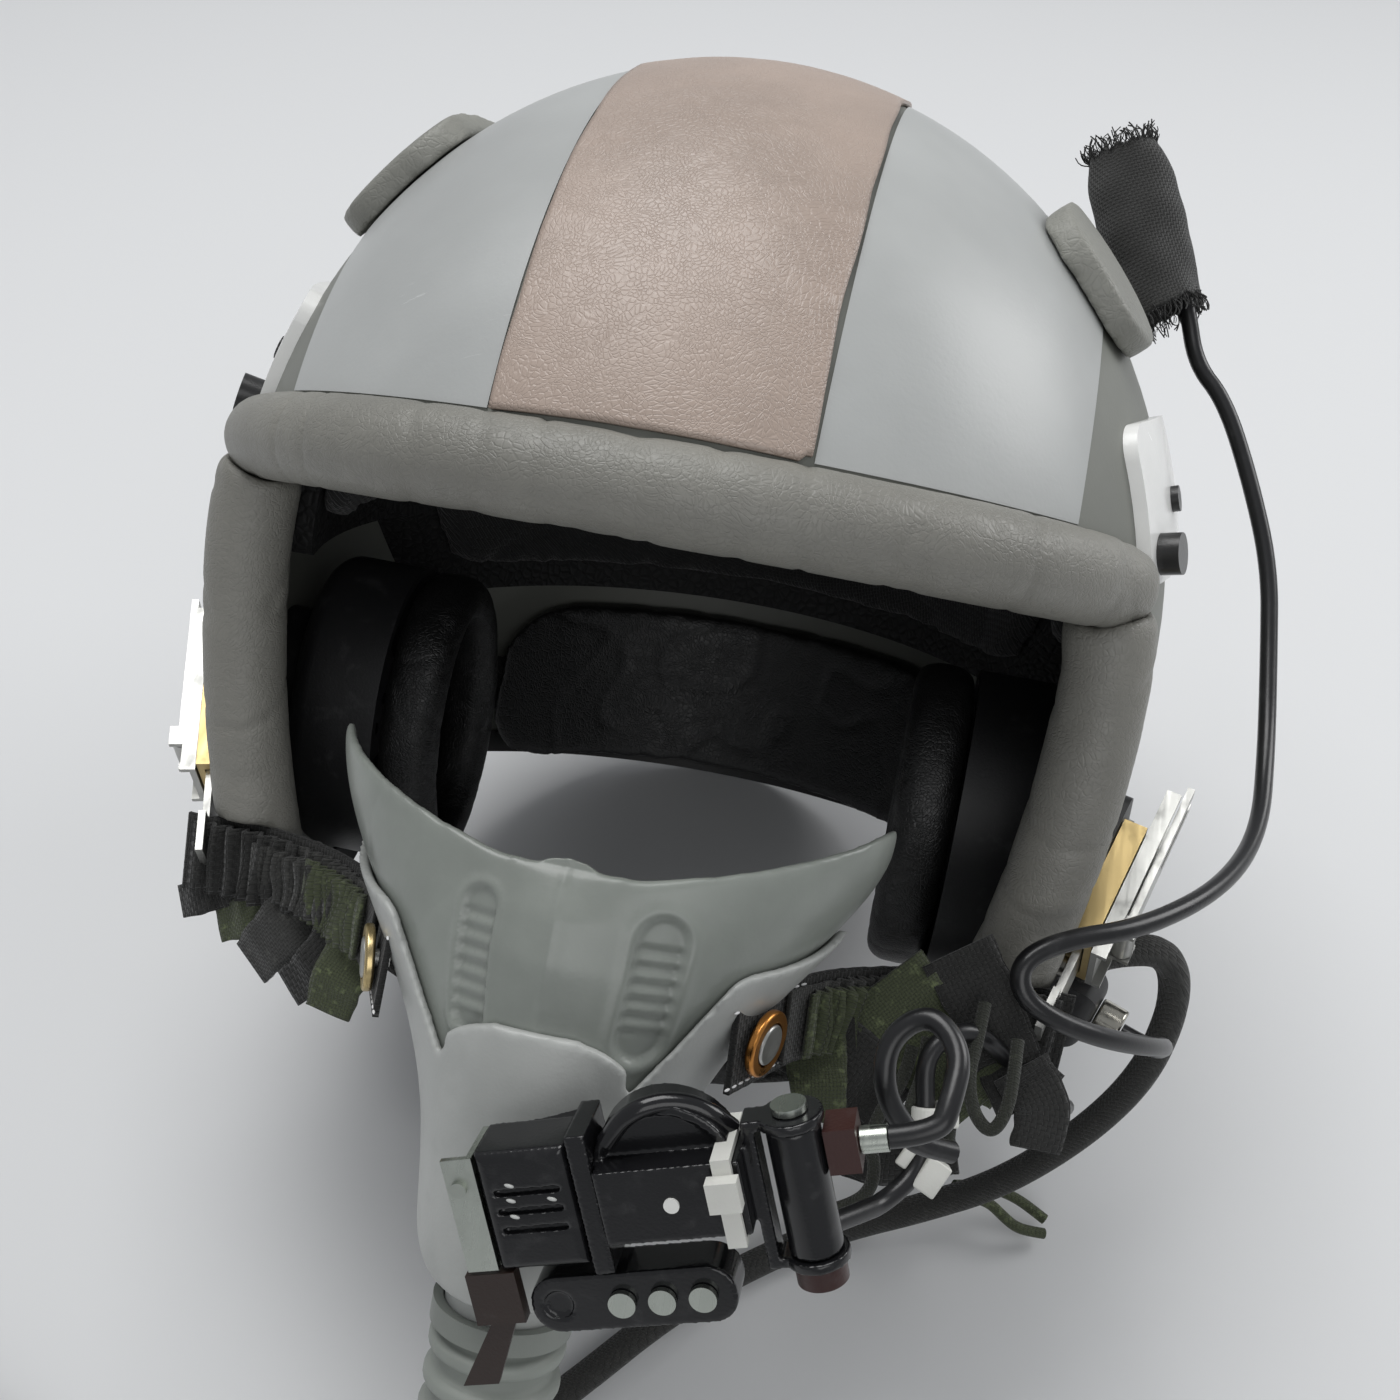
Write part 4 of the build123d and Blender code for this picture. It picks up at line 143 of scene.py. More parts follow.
# Where on the strap, length, width, way and cloth of a scrap that hangs from it
STRAP_SCRAPS = (
    (0.34, 0.020, 0.016, (0.2, -0.6, -0.5), "olive"), (0.46, 0.024, 0.014, (0.5, -0.5, -0.6), "tape"),
    (0.60, 0.026, 0.018, (0.6, -0.4, -0.7), "elastic"), (0.72, 0.022, 0.013, (0.7, -0.3, -0.5), "olive"),
    (0.84, 0.020, 0.012, (0.9, -0.3, -0.5), "tape"),
)
# From where to where on the strap, lift, width and cloth of a layer folded onto it
FOLD_LAYERS = (
    (0.30, 0.62, 0.0058, 0.015, "olive"), (0.42, 0.80, 0.0050, 0.013, "elastic"),
    (0.66, 0.97, 0.0042, 0.018, "tape"),
)
RAY_START = 0.6
TONGUE_HALF = 0.0185
TONGUE_TOP = 0.002
TONGUE_ROUND = 0.004
TONGUE_FOOT = 0.026
NOSE_DOWN = Vector((0, -0.810, -0.586))
NOSE_OUT = Vector((0, -0.586, 0.810))
NOSE_HALF = 0.011
NOSE_LONG = 0.048
NOSE_WALL = 0.0028
NOSE_LOW = 0.150
NOSE_BUMP = 0.0034
NOSE_SPREAD = 0.013
NOSE_EASED = NOSE_SPREAD * 1.3
EASED_EDGE = 0.004
SEAM_DEPTH = 0.00035
SEAM_WIDTH = 0.0008
SLEEVE_BASE = Vector((0.113, 0.1339, 0.1988))
SLEEVE_TOP = Vector((0.094, 0.1681, 0.2299))
SLEEVE_OUT = Vector((0.855195, 0.260073, 0.237063))
SLEEVE_RADIUS = 0.0130
SLEEVE_WALL = 0.0014
PATCH_BACK = 0.060
PATCH_RISE = 0.135
PATCH_WALL = 0.0013
PATCH_RADIUS = 0.13
SMALL_EDGE = 0.0005
STRAP_STEPS = 120
STRAP_FLAT = (0.25, -0.75, 0.6)
STITCH_OFFSET = 0.0085
STRAP_ROUTE = (
    (0.0385, -0.1121, 0.1574), (0.0436, -0.1025, 0.1502), (0.0489, -0.0930, 0.1431),
    (0.0561, -0.0844, 0.1366), (0.0653, -0.0772, 0.1309), (0.0761, -0.0715, 0.1263),
    (0.0880, -0.0677, 0.1230), (0.1008, -0.0659, 0.1210), (0.1137, -0.0661, 0.1205),
)


class Reading:
    """A number that varies over a surface; Python's operators on it add Math nodes."""

    def __init__(self, finish, socket):
        self.finish = finish
        self.socket = socket

    def _math(self, operation, *values):
        return self.finish.add("Math", {"operation": operation}, dict(enumerate(values)))

    def __add__(self, other):
        return self._math("ADD", self, other)

    __radd__ = __add__

    def __mul__(self, other):
        return self._math("MULTIPLY", self, other)

    __rmul__ = __mul__

    def __sub__(self, other):
        return self._math("SUBTRACT", self, other)

    def __rsub__(self, other):
        return self._math("SUBTRACT", other, self)

    def __truediv__(self, other):
        return self._math("DIVIDE", self, other)

    def __pow__(self, other):
        return self._math("POWER", self, other)

    def sine(self):
        return self._math("SINE", self)

    def size(self):
        return self._math("ABSOLUTE", self)

    def over(self, low, high):
        """0 below low, 1 above high, smooth between."""
        settings = {"interpolation_type": "SMOOTHSTEP"}
        return self.finish.add("MapRange", settings, {"Value": self, "From Min": low, "From Max": high})


class Finish:
    """A procedural material and what adds nodes to it."""

    def __init__(self, name, colour, roughness=0.5, metallic=0.0):
        self.material = bpy.data.materials.new(name)
        self.material.use_nodes = True
        self.tree = self.material.node_tree
        self.tree.nodes.clear()
        self.shader = self.tree.nodes.new("ShaderNodeBsdfPrincipled")
        output = self.tree.nodes.new("ShaderNodeOutputMaterial")
        self.tree.links.new(self.shader.outputs[0], output.inputs["Surface"])
        self.shader.inputs["Base Color"].default_value = (*colour, 1)
        self.shader.inputs["Roughness"].default_value = roughness
        self.shader.inputs["Metallic"].default_value = metallic
        self.colour = colour
        self.place = self.add("TexCoord", {}, {}, "Object")

    def link(self, value, socket):
        if isinstance(value, Reading):
            self.tree.links.new(value.socket, socket)
        elif isinstance(value, tuple) and len(value) == 3 and socket.type == "RGBA":
            socket.default_value = (*value, 1)
        else:
            socket.default_value = value

    def add(self, kind, settings, values, output=0):
        """One node of a kind: its settings first, then its sockets by name or number."""
        node = self.tree.nodes.new("ShaderNode" + kind)
        for setting, value in settings.items():
            setattr(node, setting, value)
        for socket, value in values.items():
            self.link(value, node.inputs[socket])
        return Reading(self, node.outputs[output])

    def set(self, socket, value):
        self.link(value, self.shader.inputs[socket])

    def scaled(self, stretch, turn=(0.0, 0.0, 0.0), place=None):
        values = {"Vector": place or self.place, "Scale": stretch, "Rotation": turn}
        return self.add("Mapping", {}, values)

    def cloudy(self, scale, detail=4.0, place=None, roughness=0.55):
        values = {"Vector": place or self.place, "Scale": scale, "Detail": detail, "Roughness": roughness}
        return self.add("TexNoise", {}, values)

    def cells(self, scale, feature="DISTANCE_TO_EDGE", place=None):
        values = {"Vector": place or self.place, "Scale": scale}
        return self.add("TexVoronoi", {"feature": feature}, values)

    def axis(self, place, letter):
        return self.add("SeparateXYZ", {}, {0: place}, letter)

    def between(self, share, first, second):
        values = {0: share, 6: first, 7: second}
        return self.add("Mix", {"data_type": "RGBA"}, values, 2)

    def bumped(self, height, depth, strength=1.0):
        """Surface raised by height, whose unit is depth in metres."""
        values = {"Height": height, "Distance": depth, "Strength": strength}
        self.set("Normal", self.add("Bump", {}, values))


def shade(colour, amount):
    """A colour made lighter or darker."""
    return tuple(min(1.0, max(0.0, channel * amount)) for channel in colour)


def paint(name, colour, roughness=0.45, scuffs=0.5):
    """Sprayed shell paint with faint orange peel, rubbed marks and thin scratches."""
    finish = Finish(name, colour, roughness)
    broad = finish.cloudy(14.0)
    fine = finish.cloudy(900.0, 2.0)
    lines = finish.cloudy(60.0, 3.0, finish.scaled((1.0, 9.0, 2.0), (0.4, 0.7, 0.2)))
    marks = lines.over(0.66, 0.70) * finish.cloudy(23.0).over(0.56, 0.66) * scuffs
    tone = finish.between(broad.over(0.3, 0.7), shade(colour, 0.92), shade(colour, 1.07))
    finish.set("Base Color", finish.between(marks, tone, shade(colour, 1.35)))
    finish.set("Roughness", roughness + (broad - 0.5) * 0.25 + marks * 0.2)
    finish.bumped(fine * 0.3 - marks * 0.5, 0.00012)
    return finish.material


def hide(name, colour, roughness=0.42, pebble=700.0, crease=1.0, sheen=0.0):
    """Thin glove leather: pebbles, fine creases, and painted shade that darkens the folds."""
    finish = Finish(name, colour, roughness)
    drift = finish.cloudy(18.0)
    stir = finish.add("TexNoise", {}, {"Vector": finish.place, "Scale": 60.0}, 1)
    stirred = finish.scaled((0.012, 0.012, 0.012), place=stir)
    bent = finish.add("VectorMath", {"operation": "ADD"}, {0: finish.place, 1: stirred})
    pebbles = finish.cells(pebble, place=bent)
    folds = finish.cloudy(75.0, 6.0, finish.scaled((1.0, 2.2, 2.2)), 0.7)
    fold = (folds - 0.5).size().over(0.0, 0.05)
    tone = finish.between(drift.over(0.3, 0.7), shade(colour, 0.9), shade(colour, 1.1))
    # Painted shade: the base colour darkens along the fold lines, weighted by crease.
    finish.set("Base Color", finish.between((1 - fold) * 0.12 * crease, tone, shade(colour, 0.7)))
    finish.set("Roughness", roughness + (drift - 0.5) * 0.25)
    finish.bumped(pebbles.over(0.0, 0.18) * 0.3 + fold * 0.18 * crease + drift * 0.4, 0.00022)
    finish.shader.inputs["Sheen Weight"].default_value = sheen
    return finish.material


def woven(name, colour, pitch, on_map=False, fleck=0.12, sheen=0.15):
    """Basket weave of threads that pass over and under each other, with painted shade in the gaps and lighter
    crests, on the piece's own map or its place.
    """
    finish = Finish(name, colour, 0.85)
    if on_map:
        place = finish.add("TexCoord", {}, {}, "UV")
    else:
        place = finish.scaled((1.0, 1.0, 1.0), (0.7, 0.3, 0.5))
    across = finish.axis(place, "X") * (pi / pitch)
    along = finish.axis(place, "Y") * (pi / pitch)
    if not on_map:
        along = along + finish.axis(place, "Z") * (pi / pitch)
    over = across.sine() * along.sine()
    warp = along.sine().size() ** 0.5
    weft = across.sine().size() ** 0.5
    side = over.over(-0.15, 0.15)
    height = warp * side + weft * (1 - side)
    fuzz = finish.cloudy(2500.0, 2.0)
    # Painted shade and highlight: the colour darkens in the low gaps between threads and lightens on the
    # raised crests.
    tone = finish.between(height.over(0.2, 0.9), shade(colour, 0.45), shade(colour, 1.15))
    flecks = finish.cloudy(420.0).over(0.55, 0.7) * fleck
    finish.set("Base Color", finish.between(flecks, tone, shade(colour, 4.0)))
    finish.bumped(height + fuzz * 0.25, pitch * 0.35)
    finish.shader.inputs["Sheen Weight"].default_value = sheen
    finish.shader.inputs["Sheen Roughness"].default_value = 0.5
    return finish.material


def moulded(name, colour, roughness=0.35, grain=1400.0, depth=0.00005, dust=0.15, subsurface=0.0):
    """Injection-moulded plastic or rubber with a fine grain, flow marks and a little dust."""
    finish = Finish(name, colour, roughness)
    broad = finish.cloudy(30.0)
    fine = finish.cloudy(grain, 2.0)
    settled = finish.cloudy(160.0, 5.0).over(0.56, 0.75) * dust
    tone = finish.between(broad.over(0.3, 0.7), shade(colour, 0.9), shade(colour, 1.1))
    finish.set("Base Color", finish.between(settled, tone, tuple(channel * 0.7 + 0.12 for channel in colour)))
    finish.set("Roughness", roughness + (broad - 0.5) * 0.2 + settled * 0.4)
    finish.bumped(fine, depth)
    finish.shader.inputs["Subsurface Weight"].default_value = subsurface
    finish.shader.inputs["Subsurface Radius"].default_value = (0.004, 0.005, 0.004)
    return finish.material


def plated(name, colour, roughness=0.28, brush=0.35, tarnish=0.25):
    """Worked metal: brushed lines one way, tarnish in patches."""
    finish = Finish(name, colour, roughness, 1.0)
    lines = finish.cloudy(500.0, 3.0, finish.scaled((1.0, 0.06, 0.06), (0.3, 0.2, 0.4)))
    patches = finish.cloudy(140.0, 5.0).over(0.5, 0.72) * tarnish
    finish.set("Base Color", finish.between(patches, colour, shade(colour, 0.35)))
    finish.set("Roughness", roughness + (lines - 0.5) * brush + patches * 0.4)
    finish.bumped(lines, 0.00004)
    return finish.material


def beaded_foam(name, colour):
    """Moulded bead foam, with painted shade in the seams between the beads."""
    finish = Finish(name, colour, 0.8)
    beads = finish.cells(330.0)
    # Painted shade: the colour darkens towards the seams between beads.
    finish.set("Base Color", finish.between(beads.over(0.0, 0.12), shade(colour, 0.4), colour))
    finish.bumped(beads.over(0.0, 0.3), 0.0004)
    return finish.material


def new_piece(name, mesh, material=None):
    """An object at the origin whose mesh holds its place."""
    piece = bpy.data.objects.new(name, mesh)
    bpy.context.scene.collection.objects.link(piece)
    if material:
        mesh.materials.clear()
        mesh.materials.append(material)
    return piece


def mesh_of(form, name):
    """Turns a form into a new mesh and frees it."""
    mesh = bpy.data.meshes.new(name)
    form.to_mesh(mesh)
    form.free()
    return mesh


def shown_mesh(piece):
    """A new mesh of a piece as its modifiers show it."""
    graph = bpy.context.evaluated_depsgraph_get()
    return bpy.data.meshes.new_from_object(piece.evaluated_get(graph))


def modify(piece, name, kind, **values):
    """Adds a modifier with its settings."""
    modifier = piece.modifiers.new(name, kind)
    for setting, value in values.items():
        setattr(modifier, setting, value)
    return modifier


def settle(piece):
    """Applies every modifier of a piece, so that its mesh is final."""
    mesh = shown_mesh(piece)
    name, material = piece.name, piece.active_material
    bpy.data.objects.remove(piece)
    mesh.name = name
    done = new_piece(name, mesh)
    if material and not mesh.materials:
        mesh.materials.append(material)
    return done


def smooth_faces(piece):
    piece.data.polygons.foreach_set("use_smooth", [True] * len(piece.data.polygons))


def coat(piece, material):
    """Gives a piece one material in place of what it has."""
    piece.data.materials.clear()
    piece.data.materials.append(material)


def even_skin(piece, voxel, rounds):
    """An even mesh with eased edges over a piece; the voxel is in millimetres."""
    modify(piece, "even", "REMESH", mode="VOXEL", voxel_size=voxel * MM)
    modify(piece, "ease", "SMOOTH", factor=0.5, iterations=rounds)
    return settle(piece)


def ease_points(piece, name, shares, rounds):
    """Smooths the points of a piece that have a share."""
    group = piece.vertex_groups.new(name=name)
    for index, share in shares.items():
        group.add([int(index)], share, "REPLACE")
    modify(piece, name, "SMOOTH", vertex_group=name, factor=0.5, iterations=rounds)
    eased = shown_mesh(piece)
    piece.modifiers.clear()
    piece.data = eased


def mapped_face(form, layer, corners):
    """A face through corners, each a point with its two coordinates on the map."""
    face = form.faces.new([corner[0] for corner in corners])
    for loop, corner in zip(face.loops, corners):
        loop[layer].uv = (corner[1], corner[2])


def joined_copy(node, name):
    """A copy of a node's mesh with its loose triangles merged."""
    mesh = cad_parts[node].data.copy()
    form = bmesh.new()
    form.from_mesh(mesh)
    bmesh.ops.remove_doubles(form, verts=form.verts, dist=2e-6)
    form.to_mesh(mesh)
    form.free()
    mesh.materials.clear()
    return new_piece(name, mesh)


def points_of(piece):
    spots = np.empty(len(piece.data.vertices) * 3)
    piece.data.vertices.foreach_get("co", spots)
    return spots.reshape(-1, 3)


def normals_of(piece):
    ways = np.empty(len(piece.data.vertices) * 3)
    piece.data.vertices.foreach_get("normal", ways)
    return ways.reshape(-1, 3)


def push(piece, heights):
    """Moves each point along its normal by its height, in metres."""
    spots = points_of(piece) + normals_of(piece) * np.asarray(heights)[:, None]
    piece.data.vertices.foreach_set("co", spots.ravel())
    piece.data.update()


def creases(spots, stretch, depth, seed=0.0):
    """Ridged noise: narrow valleys that run across the stretched direction."""
    found = []
    for spot in spots:
        at = Vector((spot[0] * stretch[0] + seed, spot[1] * stretch[1], spot[2] * stretch[2]))
        ridge = 1 - min(1.0, abs(noise.noise(at)) * 3.2)
        swell = noise.noise(at * 0.35 + Vector((7.0, 3.0, seed)))
        found.append(depth * (swell * 0.7 - ridge**4))
    return found


def soft_copy(node, name, material, body, voxel=1.6, rounds=6, stretch=(90, 90, 90), depth=0.5, puff=0.0):
    """A stuffed or sewn skin in the place of a node: an even mesh, eased edges, swollen and creased."""
    piece = even_skin(joined_copy(node, name), voxel, rounds)
    push(piece, np.array(creases(points_of(piece), stretch, depth * MM)) + puff * MM)
    smooth_faces(piece)
    coat(piece, material)
    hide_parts(node)
    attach(piece, body)
    return piece


def eased_copy(node, name, material, body, voxel=0.4, rounds=2):
    """A worked or moulded part in the place of a node, with small even radii on its edges."""
    piece = even_skin(joined_copy(node, name), voxel, rounds)
    smooth_faces(piece)
    coat(piece, material)
    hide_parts(node)
    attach(piece, body)
    return piece


def view_way(across, down, back):
    """From the camera towards a pixel of the photograph; back points out of the picture at the camera."""
    right = VIEW_RIGHT * (across - PHOTO_MIDDLE) / PHOTO_FOCAL
    return right + VIEW_UP * (PHOTO_MIDDLE - down) / PHOTO_FOCAL - back


def seen_near(pixel, anchor):
    """Where a pixel of the photograph lies in the plane through the anchor that faces the camera; its third
    value, in millimetres, moves it nearer to the camera."""
    across, down, nearer = pixel
    back = VIEW_RIGHT.cross(VIEW_UP).normalized()
    way = view_way(across, down, back)
    start = Vector(VIEW_PLACE)
    return start + way * ((Vector(anchor) - start).dot(back) / way.dot(back)) + back * nearer * MM


def seen_on(tree, across, down):
    """Where the photograph's pixel lies on a surface."""
    way = view_way(across, down, VIEW_RIGHT.cross(VIEW_UP))
    return tree.ray_cast(Vector(VIEW_PLACE), way.normalized())[0]


def tree_of(mesh):
    """The surface of a mesh, for rays to meet."""
    form = bmesh.new()
    form.from_mesh(mesh)
    tree = BVHTree.FromBMesh(form)
    form.free()
    return tree


def surface_of(node):
    return tree_of(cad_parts[node].data)


def ribbed_channel(piece, head, foot, half, depth, pitch, facing):
    """Heights of a sunken channel with a raised lip and cross ribs, on the side that faces one way."""
    spots, ways = points_of(piece), normals_of(piece)
    run = np.array(foot - head)
    share = np.clip(((spots - np.array(head)) @ run) / (run @ run), 0, 1)
    away = np.linalg.norm(spots - (np.array(head) + share[:, None] * run), axis=1)
    inside = np.clip((half - away) / (0.3 * half), 0, 1)
    inside = inside * inside * (3 - 2 * inside)
    lip = np.exp(-(((away - half * 1.12) / (0.22 * half)) ** 2))
    along = share * np.linalg.norm(run)
    ribs = 0.5 + 0.5 * np.cos(2 * pi * along / pitch)
    turned = np.clip(ways @ np.array(facing) * 4, 0, 1)
    return turned * (-depth * inside + 0.45 * depth * inside * ribs + 0.3 * depth * lip)


def broaden_nose(piece):
    """Turns the narrow ridge over the nose into a broad arch that leaves the cheeks in their own slope."""
    spots = points_of(piece)
    tree = tree_of(piece.data)
    down, out = NOSE_DOWN, NOSE_OUT
    reach = 0.004

    def wall_at(x, run):
        start = Vector((x, 0, 0)) + down * run + out * RAY_START
        first = tree.ray_cast(start, -out)[0]
        if first is None:
            return None
        second = tree.ray_cast(first - out * 0.0002, -out)[0]
        return first.dot(out), second.dot(out) if second else first.dot(out) - NOSE_WALL

    runs = spots @ np.array(down)
    rises = spots @ np.array(out)
    near = (np.abs(spots[:, 0]) < NOSE_HALF) & (rises > NOSE_LOW)
    cheek = [index for index in np.nonzero(near)[0] if abs(spots[index, 0]) > NOSE_HALF - 0.002]
    brim = min(runs[index] for index in cheek) + 0.0004
    steps = np.linspace(brim, brim + NOSE_LONG, 60)
    edge = [wall_at(NOSE_HALF, run) for run in steps]
    beyond = [wall_at(NOSE_HALF + reach, run) for run in steps]
    walls = zip(steps, edge, beyond)
    grid = np.array([
        (run, one[0], max(0.0, (one[0] - two[0]) / reach)) for run, one, two in walls if one and two])
    for index in np.nonzero(near)[0]:
        x, run = abs(spots[index, 0]), runs[index]
        here = wall_at(spots[index, 0], run)
        if run > brim + NOSE_LONG or (here is None and run > brim + NOSE_WALL * 2):
            continue
        if here and rises[index] < here[1] - 0.0015 and run > brim + 0.004:
            continue
        depth = min(max((here[0] - rises[index]) / max(here[0] - here[1], 0.0005), 0.0), 1.0) if here else 0.5
        sunk = max(run, brim + 0.3 * (run - brim)) if run < brim else run
        height = np.interp(sunk, grid[:, 0], grid[:, 1])
        slope = np.interp(sunk, grid[:, 0], grid[:, 2])
        arch = height + slope * (NOSE_HALF**2 - x * x) / (2 * NOSE_HALF) * 0.9
        share = min(1.0, max(0.0, (brim + NOSE_LONG - run) / 0.010)) * min(1.0, (NOSE_HALF - x) / 0.003)
        target = down * sunk + out * (arch - depth * NOSE_WALL) + Vector((spots[index, 0], 0, 0))
        spots[index] = Vector(spots[index]).lerp(target, share)
    piece.data.vertices.foreach_set("co", spots.ravel())
    piece.data.update()
    ease_points(piece, "brim", {
        index: min(1.0, (NOSE_HALF - abs(spots[index, 0])) / 0.002)
        for index in np.nonzero(near & (runs < brim + 0.010))[0]
    }, 10)
    return brim


def tongue_patch(shell, face):
    """Closed patch of the mask shell under the nose, between its two rises, over the facepiece's own form."""

    def first_on(tree, x, run):
        return tree.ray_cast(Vector((x, 0, 0)) + NOSE_DOWN * run + NOSE_OUT * RAY_START, -NOSE_OUT)

    wall = []
    for x in (-TONGUE_HALF - 0.001, TONGUE_HALF + 0.001):
        over, under = first_on(shell, x, TONGUE_FOOT * 0.6), first_on(face, x, TONGUE_FOOT * 0.6)
        if over[0] and under[0]:
            wall.append((over[0] - under[0]).dot(NOSE_OUT) * under[1].dot(NOSE_OUT))
    lift = sum(wall) / len(wall) if wall else NOSE_WALL
    form = bmesh.new()
    grid = []
    columns, rows = 36, 26
    for column in range(columns + 1):
        x = TONGUE_HALF * (2 * column / columns - 1)
        top = TONGUE_TOP + TONGUE_ROUND * abs(x / TONGUE_HALF) ** 4
        line = []
        for row in range(rows + 1):
            spot, normal = first_on(face, x, top + (TONGUE_FOOT - top) * row / rows)[:2]
            line.append(form.verts.new(spot + normal * lift))
        grid.append(line)
    for left, right in zip(grid, grid[1:]):
        for row in range(rows):
            form.faces.new((left[row], left[row + 1], right[row + 1], right[row]))
    bmesh.ops.recalc_face_normals(form, faces=form.faces)
    mesh = mesh_of(form, "tongue")
    if sum(face_way.normal.dot(NOSE_OUT) for face_way in mesh.polygons) < 0:
        mesh.flip_normals()
    patch = new_piece("tongue", mesh)
    modify(patch, "depth", "SOLIDIFY", thickness=lift + 0.0004, offset=-1)
    return settle(patch)


def give(material, *nodes):
    """Gives CAD nodes a material in place of their plain one."""
    for node in nodes:
        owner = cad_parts[node]
        if owner.material_slots:
            for place in owner.material_slots:
                place.material = material
        else:
            owner.data.materials.append(material)


def centreline(name, route, radius=0.0):
    """A NURBS curve through a route's control points."""
    data = bpy.data.curves.new(name, "CURVE")
    data.dimensions = "3D"
    data.resolution_u = 10
    data.bevel_resolution = 5
    data.bevel_depth = radius
    data.use_fill_caps = radius > 0
    line = data.splines.new("NURBS")
    line.points.add(len(route) - 1)
    for point, place in zip(line.points, route):
        point.co = (*place, 1)
    line.order_u = 3
    line.use_endpoint_u = True
    curve = bpy.data.objects.new(name, data)
    bpy.context.scene.collection.objects.link(curve)
    return curve


def read_route(route):
    """Points and length of a route's smooth line."""
    curve = centreline("route_reading", route)
    mesh = shown_mesh(curve)
    spots = [vertex.co.copy() for vertex in mesh.vertices]
    bpy.data.objects.remove(curve)
    bpy.data.meshes.remove(mesh)
    length = sum((after - before).length for before, after in zip(spots, spots[1:]))
    return spots, length


class Growth:
    """A Geometry Nodes tree with named inputs, built, run on a piece and taken off again."""

    def __init__(self, name, inputs):
        self.tree = bpy.data.node_groups.new(name, "GeometryNodeTree")
        faces = self.tree.interface
        faces.new_socket("Geometry", in_out="INPUT", socket_type="NodeSocketGeometry")
        faces.new_socket("Geometry", in_out="OUTPUT", socket_type="NodeSocketGeometry")
        self.keys = {}
        for label, (kind, value) in inputs.items():
            socket = faces.new_socket(label, in_out="INPUT", socket_type="NodeSocket" + kind)
            if value is not None:
                socket.default_value = value
            self.keys[label] = socket.identifier
        self.start = self.tree.nodes.new("NodeGroupInput")
        self.end = self.tree.nodes.new("NodeGroupOutput")

    def add(self, kind, values=None, settings=None):
        node = self.tree.nodes.new(kind)
        for setting, value in (settings or {}).items():
            setattr(node, setting, value)
        for socket, value in (values or {}).items():
            target = node.inputs[socket]
            if isinstance(value, bpy.types.NodeSocket):
                self.tree.links.new(value, target)
            else:
                target.default_value = value
        return node.outputs

    def math(self, operation, *values):
        return self.add("ShaderNodeMath", dict(enumerate(values)), {"operation": operation})[0]

    def close(self, geometry):
        """Ends the tree in real geometry with its material."""
        real = self.add("GeometryNodeRealizeInstances", {0: geometry})[0]
        values = {"Geometry": real, "Material": self.start.outputs["Material"]}
        coloured = self.add("GeometryNodeSetMaterial", values)
        self.tree.links.new(coloured[0], self.end.inputs[0])

    def grow(self, carrier, name, values):
        """Runs the tree on a carrier and returns a plain mesh piece."""
        modifier = carrier.modifiers.new(self.tree.name, "NODES")
        modifier.node_group = self.tree
        for label, value in values.items():
            modifier[self.keys[label]] = value
        mesh = shown_mesh(carrier)
        bpy.data.objects.remove(carrier)
        mesh.name = name
        return new_piece(name, mesh)


def ribbed_tube_tree():
    """Tube along a curve whose radius swells once for each rib."""
    growth = Growth("Ribbed tube", {
        "Ribs": ("Int", HOSE_RIBS), "Crest radius": ("Float", HOSE_SIZE / 2),
        "Valley radius": ("Float", HOSE_VALLEY_SIZE / 2), "Material": ("Material", None),
    })
    entry = growth.start.outputs
    steps = growth.math("MULTIPLY", entry["Ribs"], 12.0)
    even = growth.add("GeometryNodeResampleCurve", {"Curve": entry["Geometry"], "Count": steps})[0]
    share = growth.add("GeometryNodeSplineParameter")["Factor"]
    turns = growth.math("MULTIPLY", share, entry["Ribs"])
    wave = growth.math("COSINE", growth.math("MULTIPLY", turns, 2 * pi))
    span = {
        "Value": wave, "From Min": -0.75, "From Max": 0.55,
        "To Min": entry["Crest radius"], "To Max": entry["Valley radius"],
    }
    swell = growth.add("ShaderNodeMapRange", span, {"interpolation_type": "SMOOTHSTEP"})[0]
    circle = growth.add("GeometryNodeCurvePrimitiveCircle", {"Resolution": 40, "Radius": 1.0})[0]
    values = {"Curve": even, "Profile Curve": circle, "Scale": swell, "Fill Caps": True}
    tube = growth.add("GeometryNodeCurveToMesh", values)[0]
    growth.close(growth.add("GeometryNodeSetShadeSmooth", {"Geometry": tube})[0])
    return growth


def thread_tree():
    """Loose threads that stand on the points of an edge."""
    growth = Growth("Loose threads", {
        "Thread length": ("Float", 0.006), "Thread radius": ("Float", 0.00022),
        "Seed": ("Int", 3), "Material": ("Material", None),
    })
    entry = growth.start.outputs
    line = growth.add("GeometryNodeCurvePrimitiveBezierSegment", {
        "Resolution": 6, "Start": (0, 0, -0.3), "Start Handle": (0.1, 0, 0.2),
        "End Handle": (0.5, 0.3, 0.4), "End": (0.1, 0.2, 1.0)})[0]
    ring = growth.add("GeometryNodeCurvePrimitiveCircle", {"Resolution": 4, "Radius": 0.04})[0]
    values = {"Curve": line, "Profile Curve": ring, "Fill Caps": True}
    thread = growth.add("GeometryNodeCurveToMesh", values)[0]
    way = growth.add("GeometryNodeInputNormal")[0]
    toward = growth.add("FunctionNodeAlignRotationToVector", {"Vector": way}, {"axis": "Z"})[0]
    leans = {0: (-0.6, -0.6, -3.1), 1: (0.6, 0.6, 3.1), "Seed": entry["Seed"]}
    spin = growth.add("FunctionNodeRandomValue", leans, {"data_type": "FLOAT_VECTOR"})[0]
    turns = {"Rotation": toward, "Rotate By": spin}
    turned = growth.add("FunctionNodeRotateRotation", turns, {"rotation_space": "LOCAL"})[0]
    sizes = {2: 0.4, 3: 1.3, "Seed": entry["Seed"]}
    size = growth.add("FunctionNodeRandomValue", sizes, {"data_type": "FLOAT"})[1]
    length = growth.math("MULTIPLY", size, entry["Thread length"])
    placed = growth.add("GeometryNodeInstanceOnPoints", {
        "Points": entry["Geometry"], "Instance": thread, "Rotation": turned, "Scale": length})[0]
    growth.close(placed)
    return growth


